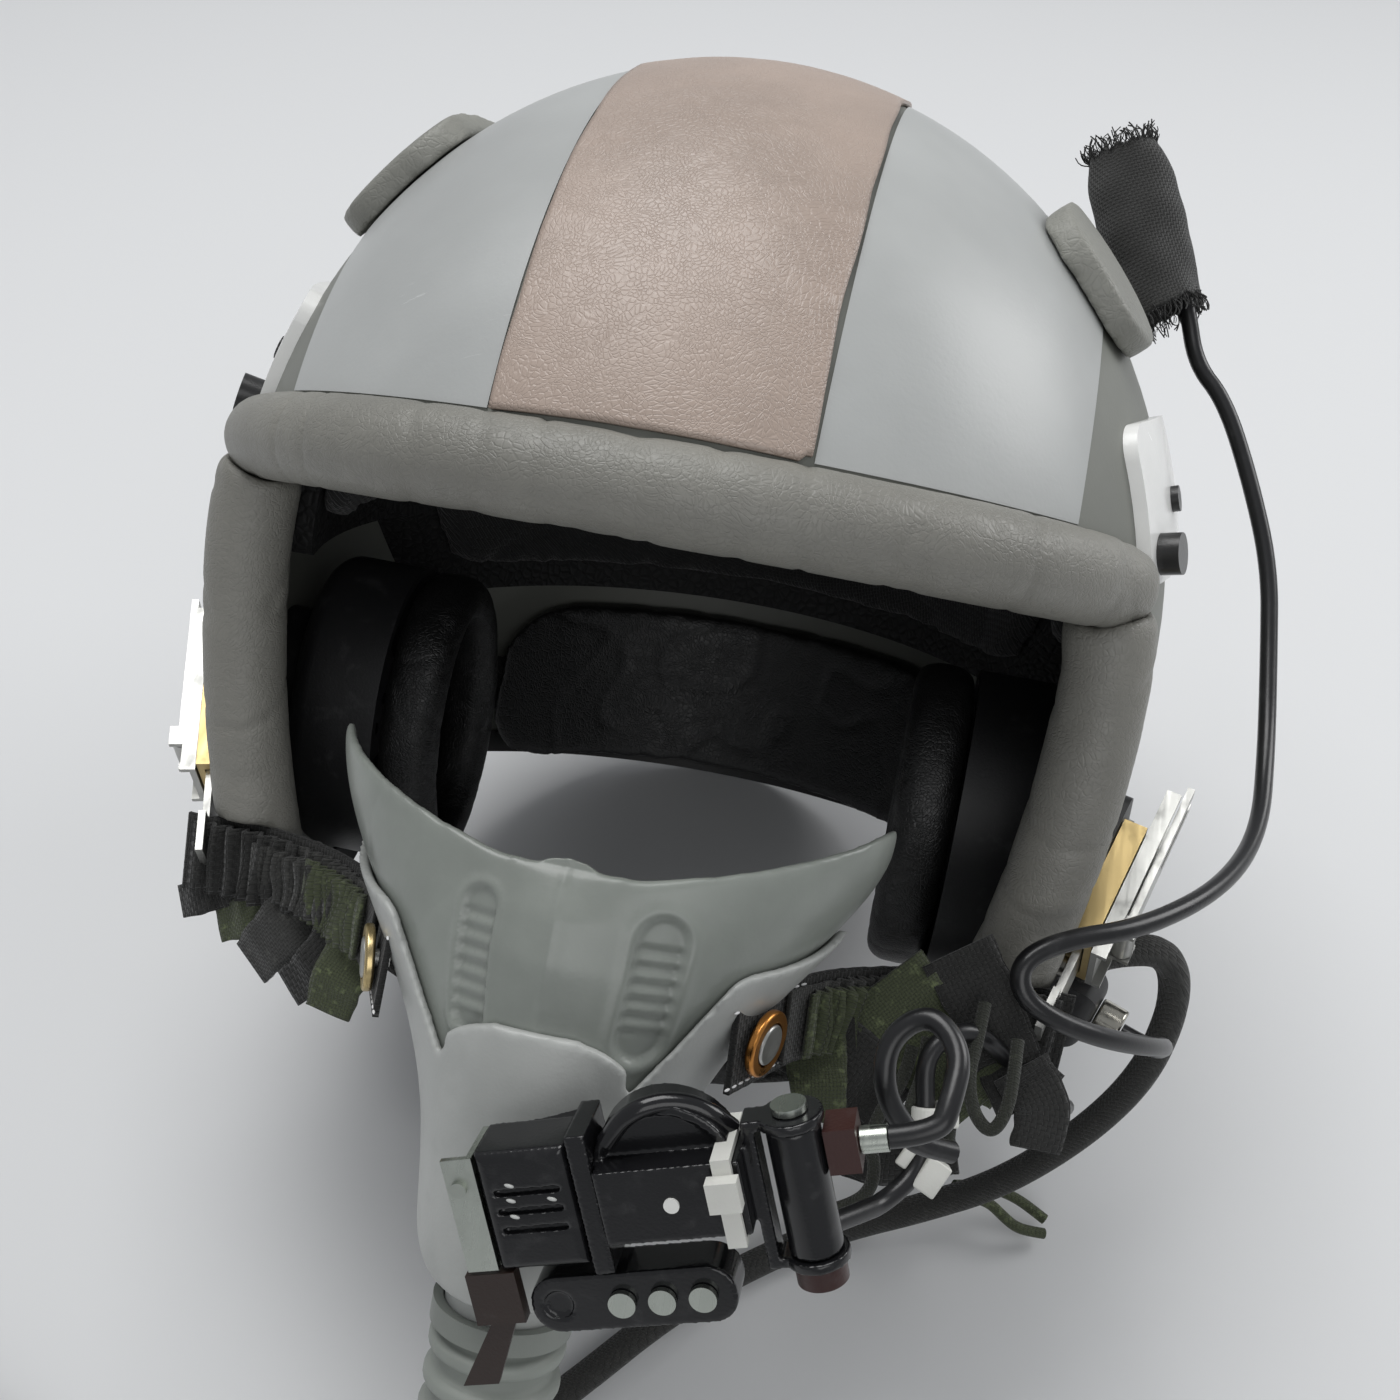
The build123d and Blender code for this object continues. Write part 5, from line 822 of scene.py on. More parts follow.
def stitch_tree():
    """Row of sewn stitches along a curve."""
    growth = Growth("Stitches", {
        "Pitch": ("Float", 0.0028), "Thread radius": ("Float", 0.00032), "Material": ("Material", None),
    })
    entry = growth.start.outputs
    spacing = {"Curve": entry["Geometry"], "Length": entry["Pitch"]}
    dots = growth.add("GeometryNodeCurveToPoints", spacing, {"mode": "LENGTH"})
    bead = growth.add("GeometryNodeMeshUVSphere", {"Segments": 8, "Rings": 5, "Radius": 1.0})[0]
    long = growth.math("MULTIPLY", entry["Pitch"], 0.38)
    thin = entry["Thread radius"]
    size = growth.add("ShaderNodeCombineXYZ", {0: thin, 1: thin, 2: long})[0]
    turned = growth.add("FunctionNodeAlignRotationToVector", {"Vector": dots["Tangent"]}, {"axis": "Z"})[0]
    placed = growth.add("GeometryNodeInstanceOnPoints", {
        "Points": dots["Points"], "Instance": bead, "Rotation": turned, "Scale": size})[0]
    growth.close(growth.add("GeometryNodeSetShadeSmooth", {"Geometry": placed})[0])
    return growth


def carrier_line(name, spots):
    """A bare poly curve for a tree to follow."""
    data = bpy.data.curves.new(name, "CURVE")
    data.dimensions = "3D"
    line = data.splines.new("POLY")
    line.points.add(len(spots) - 1)
    for point, place in zip(line.points, spots):
        point.co = (*place, 1)
    curve = bpy.data.objects.new(name, data)
    bpy.context.scene.collection.objects.link(curve)
    return curve


def carrier_points(name, spots, ways):
    """Bare points with normals, from tiny faces turned the way that their thread leaves."""
    verts, faces = [], []
    for spot, way in zip(spots, ways):
        side = way.orthogonal().normalized() * 2e-5
        other = way.cross(side).normalized() * 2e-5
        first = len(verts)
        verts += [spot + side, spot + other, spot - side - other]
        faces.append((first, first + 1, first + 2))
    mesh = bpy.data.meshes.new(name)
    mesh.from_pydata(verts, [], faces)
    return new_piece(name, mesh)


def ribbon(name, line, width, thick, flat_way, material, ruffle=None, taper=1.0):
    """Webbing along a line of points, lying square to flat_way, with ruffles where asked, and its own map."""
    ways = [after - before for before, after in zip(line, line[1:])]
    ways.append(ways[-1])
    form = bmesh.new()
    layer = form.loops.layers.uv.new("UVMap")
    cross = 9
    rows, run = [], 0.0
    for step, (spot, way) in enumerate(zip(line, ways)):
        share = step / (len(line) - 1)
        up = (Vector(flat_way) - way * (Vector(flat_way).dot(way) / way.length_squared)).normalized()
        side = way.cross(up).normalized()
        lift = ruffle(share, run) if ruffle else 0.0
        wide = width * (1 + (taper - 1) * share)
        row = []
        for slot in range(cross):
            offset = slot / (cross - 1) - 0.5
            sway = lift * (1 + 0.35 * sin(9 * share + 5 * offset))
            edge = 0.0004 * noise.noise(Vector((run * 300, offset * 4, width * 900)))
            row.append((form.verts.new(spot + side * (wide * offset + edge) + up * sway), wide * offset, run))
        rows.append(row)
        if step + 1 < len(line):
            run += (line[step + 1] - spot).length + abs(lift) * 0.5
    for low, high in zip(rows, rows[1:]):
        for slot in range(cross - 1):
            mapped_face(form, layer, (low[slot], low[slot + 1], high[slot + 1], high[slot]))
    bmesh.ops.recalc_face_normals(form, faces=form.faces)
    piece = new_piece(name, mesh_of(form, name), material)
    modify(piece, "thickness", "SOLIDIFY", thickness=thick, offset=0, use_even_offset=True)
    piece = settle(piece)
    smooth_faces(piece)
    return piece


def waving(depth, scale, seed, place):
    """Ruffle that follows noise along a ribbon."""
    return lambda share, run: depth * noise.noise(Vector((run * scale, seed, place)))


def pleated(pitch):
    """Even pleats that fade towards a ribbon's ends."""
    return lambda share, run: 0.0022 * sin(run * 2 * pi / pitch) * min(1.0, 6 * share, 6 * (1 - share))


def gathered(share, run):
    """Gathers in the middle of a strap's elastic."""
    middle = max(0.0, 1 - ((share - 0.5) / 0.28) ** 2) if 0.22 < share < 0.78 else 0.0
    return 0.0016 * middle * sin(run * 2 * pi / 0.0052)


def curve_through(spots, count):
    """Evenly spaced points on a smooth line through the given ones."""
    spots = [Vector(spot) for spot in spots]
    padded = [spots[0] * 2 - spots[1], *spots, spots[-1] * 2 - spots[-2]]
    dense = []
    for first, second, third, fourth in zip(padded, padded[1:], padded[2:], padded[3:]):
        for step in range(24):
            share = step / 24
            dense.append(0.5 * (
                2 * second + (third - first) * share
                + (2 * first - 5 * second + 4 * third - fourth) * share**2
                + (3 * second - first - 3 * third + fourth) * share**3
            ))
    dense.append(spots[-1])
    lengths = np.concatenate([[0], np.cumsum([(b - a).length for a, b in zip(dense, dense[1:])])])
    grid = np.array(dense)
    wanted = np.linspace(0, lengths[-1], count)
    columns = [np.interp(wanted, lengths, grid[:, axis]) for axis in range(3)]
    return [Vector(spot) for spot in np.stack(columns, 1)]


def mirrored(spots):
    return [Vector((-spot[0], spot[1], spot[2])) for spot in spots]


def many(pieces, name):
    """Joins plain mesh pieces into one."""
    form = bmesh.new()
    materials = []
    for piece in pieces:
        material = piece.data.materials[0] if piece.data.materials else None
        if material not in materials:
            materials.append(material)
        for face in piece.data.polygons:
            face.material_index = materials.index(material)
        form.from_mesh(piece.data)
    mesh = mesh_of(form, name)
    for material in materials:
        mesh.materials.append(material)
    for piece in pieces:
        bpy.data.objects.remove(piece)
    return new_piece(name, mesh)


class FinishSettings(bpy.types.PropertyGroup):
    """Colours and sizes of the finish"""

    def colour(label, text, value):
        return bpy.props.FloatVectorProperty(
            name=label, description=text, subtype="COLOR", size=3, min=0, max=1, default=value)

    def length(label, text, value):
        return bpy.props.FloatProperty(name=label, description=text, unit="LENGTH", min=0, default=value)

    shell: colour("Shell", "Paint of the hard shell", (0.175, 0.180, 0.160))
    panel: colour("Crown panels", "Pale sheets beside the patch", (0.395, 0.405, 0.398))
    patch: colour("Crown patch", "Leather patch over the crown", (0.365, 0.290, 0.245))
    roll: colour("Edge rolls", "Leather of the brow and side rolls", (0.205, 0.200, 0.178))
    pad: colour("Side pads", "Raised pads high on the shell", (0.230, 0.230, 0.205))
    plate: colour("Side plates", "White side plates", (0.820, 0.820, 0.800))
    mask: colour("Mask shell", "Rigid outer shell of the mask", (0.385, 0.395, 0.380))
    face: colour("Facepiece", "Soft facepiece and the hose", (0.240, 0.258, 0.235))
    webbing: colour("Webbing", "Black woven straps", (0.012, 0.012, 0.011))
    olive: colour("Olive cloth", "Cloth scraps and cord ends", (0.045, 0.055, 0.025))
    crease_depth: length("Crease depth", "Depth of the creases in the rolls", 0.0006)
    stitch_pitch: length("Stitch pitch", "From one stitch to the next", 0.0028)
    thread_length: length("Frayed thread", "Length of a loose thread", 0.006)
    floor_size: length("Floor", "Side of the floor", 6.0)


def settings():
    return bpy.context.scene.helmet_finish


def set_camera(scene):
    """The photograph's own view."""
    view = bpy.data.cameras.new("view")
    view.lens = VIEW_LENS
    view.sensor_width = SENSOR_WIDTH
    view.clip_start = 0.01
    camera = bpy.data.objects.new("view", view)
    scene.collection.objects.link(camera)
    back = VIEW_RIGHT.cross(VIEW_UP).normalized()
    turn = Matrix((VIEW_RIGHT.normalized(), VIEW_UP.normalized(), back)).transposed().to_4x4()
    camera.matrix_world = Matrix.Translation(VIEW_PLACE) @ turn
    scene.camera = camera


def lay_floor():
    """A plain pale floor, which is no part of the object."""
    half = settings().floor_size / 2
    mesh = bpy.data.meshes.new("floor")
    corners = [(-half, -half, 0), (half, -half, 0), (half, half, 0), (-half, half, 0)]
    mesh.from_pydata(corners, [], [(0, 1, 2, 3)])
    ground = Finish("pale floor", (0.66, 0.665, 0.67), 0.55)
    ground.bumped(ground.cloudy(120.0), 0.00005)
    new_piece("floor", mesh, ground.material)


def light(scene):
    """A soft sky and three square lamps that look at the helmet's middle."""
    world = bpy.data.worlds.new("studio")
    scene.world = world
    world.use_nodes = True
    world.node_tree.nodes["Background"].inputs["Color"].default_value = (0.93, 0.96, 1.0, 1)
    world.node_tree.nodes["Background"].inputs["Strength"].default_value = 0.36
    for name, place, size, power in LAMPS:
        lamp = bpy.data.lights.new(name, "AREA")
        lamp.size = size
        lamp.energy = power
        holder = bpy.data.objects.new(name, lamp)
        scene.collection.objects.link(holder)
        aim = Vector((0, 0, 0.12)) - Vector(place)
        holder.rotation_mode = "QUATERNION"
        holder.rotation_quaternion = aim.to_track_quat("-Z", "Y")
        holder.location = place


class HELMET_OT_stage(bpy.types.Operator):
    """Camera, floor, lamps and world"""

    bl_idname = "helmet.stage"
    bl_label = "Stage"

    def execute(self, context):
        context.scene.view_settings.view_transform = "Standard"
        set_camera(context.scene)
        lay_floor()
        light(context.scene)
        return {"FINISHED"}


def ribbed_hose():
    """The breathing hose, a ribbed tube along its route in place of its node."""
    rubber = moulded("hose rubber", tuple(settings().face), 0.5, 700.0, 0.00006, 0.35)
    line, length = read_route(HOSE_ROUTE)
    carrier = centreline("hose_line", HOSE_ROUTE)
    hose = ribbed_tube_tree().grow(carrier, "ribbed_hose", {"Material": rubber})
    smooth_faces(hose)
    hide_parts("breathing_hose")
    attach(hose, "mask")


class HELMET_OT_cords(bpy.types.Operator):
    """Slim cable, main cable, feed loops and the breathing hose"""

    bl_idname = "helmet.cords"
    bl_label = "Cords and hose"

    def execute(self, context):
        black = moulded("cable jacket", (0.010, 0.010, 0.011), 0.3, 900.0, 0.00003, 0.1)
        sheath = woven("cable sheath", (0.020, 0.020, 0.018), 0.0011, fleck=0.2)
        plug = [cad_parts["main_plug"]]
        cables = (
            ("slim_lead", "slim_cable", SLIM_ROUTE, SLIM_SIZE, black, "helmet", "object", "medium", []),
            ("feed_loop_low", "loop_cable_low", LOOP_LOW_ROUTE, LOOP_SIZE, black, "mask", "bare", "limp", []),
            ("feed_loop_high", "loop_cable_high", LOOP_HIGH_ROUTE, LOOP_SIZE, black, "mask", "bare", "limp",
             []),
            ("main_lead", "main_cable", MAIN_ROUTE, MAIN_SIZE, sheath, "helmet", "plug", "medium", plug),
        )
        for name, node, route, size, material, body, end, firm, more in cables:
            curve = centreline(name, route, size / 2)
            curve.data.materials.append(material)
            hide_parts(node)
            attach(curve, body)
            length = read_route(route)[1]
        ribbed_hose()
        give(black, "main_plug", "hose_end", "hose_collar")
        return {"FINISHED"}


class HELMET_OT_shell(bpy.types.Operator):
    """Shell, rim, panels, plates, studs and foam"""

    bl_idname = "helmet.shell"
    bl_label = "Shell"

    def execute(self, context):
        look = settings()
        give(paint("shell paint", tuple(look.shell), 0.5), "helmet_shell")
        give(paint("crown panel film", tuple(look.panel), 0.36, 0.8), "crown_panels")
        give(paint("white plate", tuple(look.plate), 0.25, 0.2), "side_plates")
        give(moulded("rim rubber", (0.014, 0.014, 0.014), 0.5), "rim_bead")
        give(moulded("stud black", (0.02, 0.02, 0.02), 0.3), "shell_studs")
        give(beaded_foam("liner foam", (0.012, 0.012, 0.012)), "foam_liner")
        return {"FINISHED"}


class HELMET_OT_rolls(bpy.types.Operator):
    """Padded brow roll, side rolls, nape pad and raised side pads"""

    bl_idname = "helmet.rolls"
    bl_label = "Rolls and pads"

    def execute(self, context):
        look = settings()
        leather = hide("roll leather", tuple(look.roll), 0.42)
        deep = look.crease_depth / MM
        dark = hide("nape leather", (0.012, 0.012, 0.012), 0.4)
        pad = hide("pad leather", tuple(look.pad), 0.5, 500.0, 0.8)
        for node, made, slot, cover, voxel, rounds, stretch, depth, puff in (
            ("brow_roll", "brow_pad", "roll_leather", leather, 1.5, 12, (70, 14, 14), deep, 0.2),
            ("side_rolls", "side_pads_rolled", "roll_leather", leather, 1.5, 12, (14, 14, 75), deep, 0.1),
            ("nape_pad", "nape_cushion", "roll_leather", dark, 1.8, 10, (50, 30, 50), 0.6, 0.0),
            ("side_pads", "raised_pads", "white_plate", pad, 1.2, 12, (30, 20, 30), 0.3, 0.0),
        ):
            piece = soft_copy(node, made, cover, "helmet", voxel, rounds, stretch, depth, puff)
        return {"FINISHED"}


def patch_skin():
    """The crown patch laid anew over its node, with its own map, a wavering edge and faint creases."""
    leather = hide("patch leather", tuple(settings().patch), 0.34, 900.0, 0.25)
    source = joined_copy("crown_patch", "patch_reading")
    tree = tree_of(source.data)
    bpy.data.objects.remove(source)
    low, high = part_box("crown_patch")
    columns, rows = 60, 190

    def outer(x, angle):
        way = Vector((0, -cos(angle), sin(angle)))
        start = Vector((x, PATCH_BACK, PATCH_RISE)) + way * 0.4
        return tree.ray_cast(start, -way)[0]

    skin = bmesh.new()
    layer = skin.loops.layers.uv.new("UVMap")
    grid = []
    for column in range(columns + 1):
        x = low.x + 0.0004 + (high.x - low.x - 0.0008) * column / columns
        hits = [radians(angle / 2) for angle in range(0, 400) if outer(x, radians(angle / 2))]
        first, last = min(hits), max(hits)
        line = []
        for row in range(rows + 1):
            angle = first + (last - first) * row / rows
            spot = outer(x, angle) or outer(x, angle + 0.002) or outer(x, angle - 0.002)
            edge = abs(column / columns - 0.5) * 2
            side = 3.0 if column > columns / 2 else 9.0
            wave = 0.0010 * noise.noise(Vector((side, angle * 6, 0))) * edge**6
            line.append((skin.verts.new(spot + Vector((wave, 0, 0))), x, angle * PATCH_RADIUS))
        grid.append(line)
    for left, right in zip(grid, grid[1:]):
        for row in range(rows):
            mapped_face(skin, layer, (left[row], right[row], right[row + 1], left[row + 1]))
    bmesh.ops.recalc_face_normals(skin, faces=skin.faces)
    piece = new_piece("patch_skin", mesh_of(skin, "patch_skin"), leather)
    if np.sum(normals_of(piece)[:, 2] * (points_of(piece)[:, 2] - PATCH_RISE)) < 0:
        piece.data.flip_normals()
    push(piece, creases(points_of(piece), (45, 45, 45), 0.00012))
    modify(piece, "thickness", "SOLIDIFY", thickness=PATCH_WALL, offset=-1)
    piece = settle(piece)
    smooth_faces(piece)
    return piece


class HELMET_OT_patch(bpy.types.Operator):
    """Leather patch over the crown"""

    bl_idname = "helmet.patch"
    bl_label = "Crown patch"

    def execute(self, context):
        piece = patch_skin()
        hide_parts("crown_patch")
        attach(piece, "helmet")
        return {"FINISHED"}


class HELMET_OT_inside(bpy.types.Operator):
    """Comfort liner, ear cups, seals, earphones, chin pad and inner straps"""

    bl_idname = "helmet.inside"
    bl_label = "Inside"

    def execute(self, context):
        quilt = woven("liner cloth", (0.008, 0.008, 0.008), 0.0012)
        skin = hide("seal leather", (0.009, 0.009, 0.009), 0.38, 900.0)
        for node, made, slot, cover, voxel, rounds, stretch, depth, fill in (
            ("comfort_liner", "quilted_liner", "comfort_cloth", quilt, 2.6, 6, (30, 30, 30), 1.2, 0.4),
            ("ear_seals", "ear_cushions", "black_leather", skin, 1.6, 8, (80, 80, 80), 0.4, 0.9),
            ("chin_pad", "chin_cushion", "black_leather", skin, 1.4, 8, (90, 90, 90), 0.4, 0.8),
        ):
            piece = soft_copy(node, made, cover, "helmet", voxel, rounds, stretch, depth)
        tape = woven("inner webbing", tuple(settings().webbing), 0.0014)
        for node, name in (("nape_straps", "nape_webbing"), ("chin_strap", "chin_webbing")):
            piece = joined_copy(node, name)
            modify(piece, "soft edges", "BEVEL", width=SMALL_EDGE, segments=2)
            piece = settle(piece)
            coat(piece, tape)
            smooth_faces(piece)
            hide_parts(node)
            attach(piece, "helmet")
        give(moulded("cup plastic", (0.010, 0.010, 0.011), 0.5), "ear_cups", "earphones", "ear_spacers")
        return {"FINISHED"}


def sleeve_tube(cloth):
    """The sleeve, dented and ragged, and its edge points with the ways that their threads leave."""
    axis = SLEEVE_TOP - SLEEVE_BASE
    out = SLEEVE_OUT.normalized()
    side = axis.normalized().cross(out)
    form = bmesh.new()
    layer = form.loops.layers.uv.new("UVMap")
    around, along = 96, 56
    rings = []
    for ring in range(along + 1):
        share = ring / along
        row = []
        for spoke in range(around):
            angle = 2 * pi * spoke / around
            way = out * cos(angle) + side * sin(angle)
            cut = 0.0035 * (1 - share) ** 3 * cos(angle)
            dents = noise.noise(Vector((cos(angle) * 1.5, sin(angle) * 1.5, share * 5)))
            fold = 0.0007 * sin(3 * angle + 5 * share) + 0.0009 * dents
            flare = 0.0008 * (1 - share) ** 6 - 0.0030 * share**7
            tears = noise.noise(Vector((angle * 4, share * 2, 1)))
            ragged = 0.0012 * tears * (share**12 + (1 - share) ** 12)
            radius = SLEEVE_RADIUS - 0.0004 + fold + flare
            spot = SLEEVE_BASE + axis * share + way * radius + axis.normalized() * (cut + ragged)
            row.append((form.verts.new(spot), angle * SLEEVE_RADIUS, axis.length * share))
        rings.append(row)
    for low, high in zip(rings, rings[1:]):
        for spoke in range(around):
            after = (spoke + 1) % around
            corners = (low[spoke], low[after], high[after], high[spoke])
            if after == 0:
                corners = [(vert, turn or 2 * pi * SLEEVE_RADIUS, run) for vert, turn, run in corners]
            mapped_face(form, layer, corners)
    tips = ((rings[0], -1), (rings[-1], 1))
    ends = [(corner[0].co.copy(), axis.normalized() * way) for row, way in tips for corner in row]
    bmesh.ops.recalc_face_normals(form, faces=form.faces)
    piece = new_piece("woven_sleeve", mesh_of(form, "woven_sleeve"), cloth)
    modify(piece, "thickness", "SOLIDIFY", thickness=SLEEVE_WALL, offset=-1)
    piece = settle(piece)
    smooth_faces(piece)
    return piece, ends


def frayed_ends(cloth, ends):
    """Loose threads at both ends of the sleeve."""
    spots = [end[0] - (end[0] - SLEEVE_BASE).normalized() * 0.0006 for end in ends]
    carrier = carrier_points("fray_carrier", spots, [end[1] for end in ends])
    values = {"Material": cloth, "Thread length": settings().thread_length * 0.7}
    return thread_tree().grow(carrier, "sleeve_threads", values)


class HELMET_OT_sleeve(bpy.types.Operator):
    """Woven sleeve with frayed ends, and its elastic strap"""

    bl_idname = "helmet.sleeve"
    bl_label = "Cable sleeve"

    def execute(self, context):
        look = settings()
        cloth = woven("sleeve cloth", shade(tuple(look.webbing), 1.3), 0.0010, True)
        piece, ends = sleeve_tube(cloth)
        threads = frayed_ends(cloth, ends)
        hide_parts("cable_sleeve")
        for made in (piece, threads):
            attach(made, "helmet")
        band = joined_copy("sleeve_strap", "sleeve_elastic")
        band.data.materials.append(woven("elastic", tuple(look.webbing), 0.0012))
        smooth_faces(band)
        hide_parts("sleeve_strap")
        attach(band, "helmet")
        return {"FINISHED"}


def strap_pair(sides, tape, elastic):
    """Both mask straps in place of their node, with gathered elastic along their middles."""
    made = []
    for path, facing, name in sides:
        base = ribbon("strap_base_" + name, path, 0.020, 0.0014, facing, tape)
        lifted = [spot + Vector(facing).normalized() * 0.0030 for spot in path[26:96]]
        top = ribbon("strap_ruffle_" + name, lifted, 0.017, 0.0009, facing, elastic, gathered)
        made += [base, top]
    straps = many(made, "mask_webbing")
    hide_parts("mask_straps")
    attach(straps, "mask")


def strap_scraps(line, sides, cloths):
    """Scraps that hang from the straps, folded layers on them, and the cloth behind the tangled loops."""
    scraps = []
    for turned in (False, True):
        for order, (share, reach, wide, toward, kind) in enumerate(STRAP_SCRAPS):
            root = line[int(share * (STRAP_STEPS - 1))] + Vector((0, -0.001, -0.004))
            way = Vector(toward).normalized()
            curl = Vector((0.3 * (-1) ** order, -0.8, 0.3)) * reach * 0.4
            spots = [root, root + way * reach * 0.5 + curl * 0.6, root + way * reach + curl * 0.2]
            if turned:
                spots = mirrored(spots)
            path = curve_through(spots, 26)
            bend = waving(0.0016, 130, order, 0)
            scraps.append(ribbon("scrap", path, wide, 0.0011, (0.0, -0.6, 0.8), cloths[kind], bend, 0.7))
    for whole, facing, _ in sides:
        for order, (near, far, lift, wide, kind) in enumerate(FOLD_LAYERS):
            part = whole[int(near * (STRAP_STEPS - 1)):int(far * (STRAP_STEPS - 1))]
            path = [spot + Vector(facing).normalized() * lift for spot in part]
            fold = pleated(0.0058 + 0.0011 * order)
            scraps.append(ribbon("fold", path, wide, 0.0010, facing, cloths[kind], fold))
    toward = VIEW_RIGHT.cross(VIEW_UP)
    for order, (*pixels, wide, kind) in enumerate(TANGLE_SCRAPS):
        path = curve_through([seen_near(pixel, TANGLE_PLACE) for pixel in pixels], 34)
        fold = waving(0.0018, 110, order * 3.0, 1)
        scraps.append(ribbon("scrap", path, wide, 0.0011, toward, cloths[kind], fold, 0.8))
    bundle = many(scraps, "strap_scraps")
    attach(bundle, "mask")


def tangle_loops():
    """Thin braided loops beside the left receiver."""
    braid = woven("thin braid", (0.016, 0.018, 0.012), 0.0008, fleck=0.3)
    for number, pixels in enumerate(TANGLE_CORDS):
        route = [tuple(seen_near(pixel, TANGLE_PLACE)) for pixel in pixels]
        loop = centreline(f"tangle_loop_{number}", route, TANGLE_SIZE / 2)
        loop.data.materials.append(braid)
        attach(loop, "mask")
        reach = read_route(route)[1]


def tangle_tie():
    """White tie round the tangled loops, facing the camera."""
    form = bmesh.new()
    toward = VIEW_RIGHT.cross(VIEW_UP)
    turn = Matrix((VIEW_RIGHT.normalized(), VIEW_UP.normalized(), toward.normalized())).transposed()
    spin = Matrix.Rotation(radians(TIE_TURN), 3, "Z")
    for across, up, wide, high, deep in TIE_BLOCKS:
        block = bmesh.ops.create_cube(form, size=1.0)["verts"]
        bmesh.ops.scale(form, vec=(wide, high, deep), verts=block)
        bmesh.ops.rotate(form, cent=(0, 0, 0), matrix=spin, verts=block)
        bmesh.ops.translate(form, vec=(across, up, 0), verts=block)
    place = Matrix.Translation(seen_near(TIE_PIXEL, TANGLE_PLACE)) @ turn.to_4x4()
    bmesh.ops.transform(form, matrix=place, verts=form.verts)
    white = moulded("tangle tie white", (0.60, 0.60, 0.56), 0.35, subsurface=0.1)
    tie = new_piece("tangle_tie", mesh_of(form, "tangle_tie"), white)
    modify(tie, "edges", "BEVEL", width=SMALL_EDGE, segments=3)
    tie = settle(tie)
    smooth_faces(tie)
    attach(tie, "mask")


def olive_ends():
    """Two olive cord ends on the floor below the left lobe."""
    for shift in (0.0, 0.0045):
        spots = (
            (0.102, -0.056 - shift, 0.018), (0.112, -0.051 - shift, 0.012),
            (0.122, -0.050 - shift * 2, 0.007), (0.131, -0.053 - shift, 0.004),
        )
        end = centreline("olive_end", curve_through(spots, 8), 0.0016)
        end.data.materials.append(woven("olive braid", tuple(settings().olive), 0.0008, fleck=0.5))
        mesh = shown_mesh(end)
        bpy.data.objects.remove(end)
        tail = new_piece("olive_end_far" if shift else "olive_end_near", mesh)
        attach(tail, "helmet")


def strap_stitches(line):
    """Rows of stitches along both edges of each strap's first third."""
    edges = []
    for turned in (False, True):
        for offset in (-STITCH_OFFSET, STITCH_OFFSET):
            spots = []
            for before, after in zip(line, line[1:]):
                side = (after - before).cross(Vector(STRAP_FLAT)).normalized()
                spots.append(before + side * offset + Vector(STRAP_FLAT).normalized() * 0.0011)
            edges.append(mirrored(spots) if turned else spots)
    thread = moulded("pale thread", (0.16, 0.16, 0.14), 0.7)
    rows = []
    for number, spots in enumerate(edges):
        carrier = carrier_line("stitch_line", spots[:34])
        values = {"Pitch": settings().stitch_pitch, "Material": thread}
        rows.append(stitch_tree().grow(carrier, f"stitch_row_{number}", values))
    stitches = many(rows, "strap_stitches")
    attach(stitches, "mask")


class HELMET_OT_straps(bpy.types.Operator):
    """Mask straps of ruffled webbing, cloth scraps and cord ends"""

    bl_idname = "helmet.straps"
    bl_label = "Mask straps"

    def execute(self, context):
        look = settings()
        tape = woven("strap webbing", tuple(look.webbing), 0.0012, True)
        elastic = woven("ruffled elastic", shade(tuple(look.webbing), 2.2), 0.0009, True, 0.4)
        olive = woven("olive cloth", tuple(look.olive), 0.0008, True, 0.5)
        line = curve_through(STRAP_ROUTE, STRAP_STEPS)
        sides = ((line, STRAP_FLAT, "left"), (mirrored(line), mirrored([STRAP_FLAT])[0], "right"))
        strap_pair(sides, tape, elastic)
        strap_scraps(line, sides, {"olive": olive, "tape": tape, "elastic": elastic})
        tangle_loops()
        tangle_tie()
        olive_ends()
        strap_stitches(line)
        return {"FINISHED"}


def mask_skin(plastic):
    """The mask's shell and the tongue under the nose, as one even skin."""
    patch = tongue_patch(surface_of("mask_shell"), surface_of("facepiece"))
    skin = many([joined_copy("mask_shell", "mask_copy"), patch], "mask_shell_skin")
    skin = even_skin(skin, 0.9, 5)
    smooth_faces(skin)
    coat(skin, plastic)
    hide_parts("mask_shell")
    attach(skin, "mask")


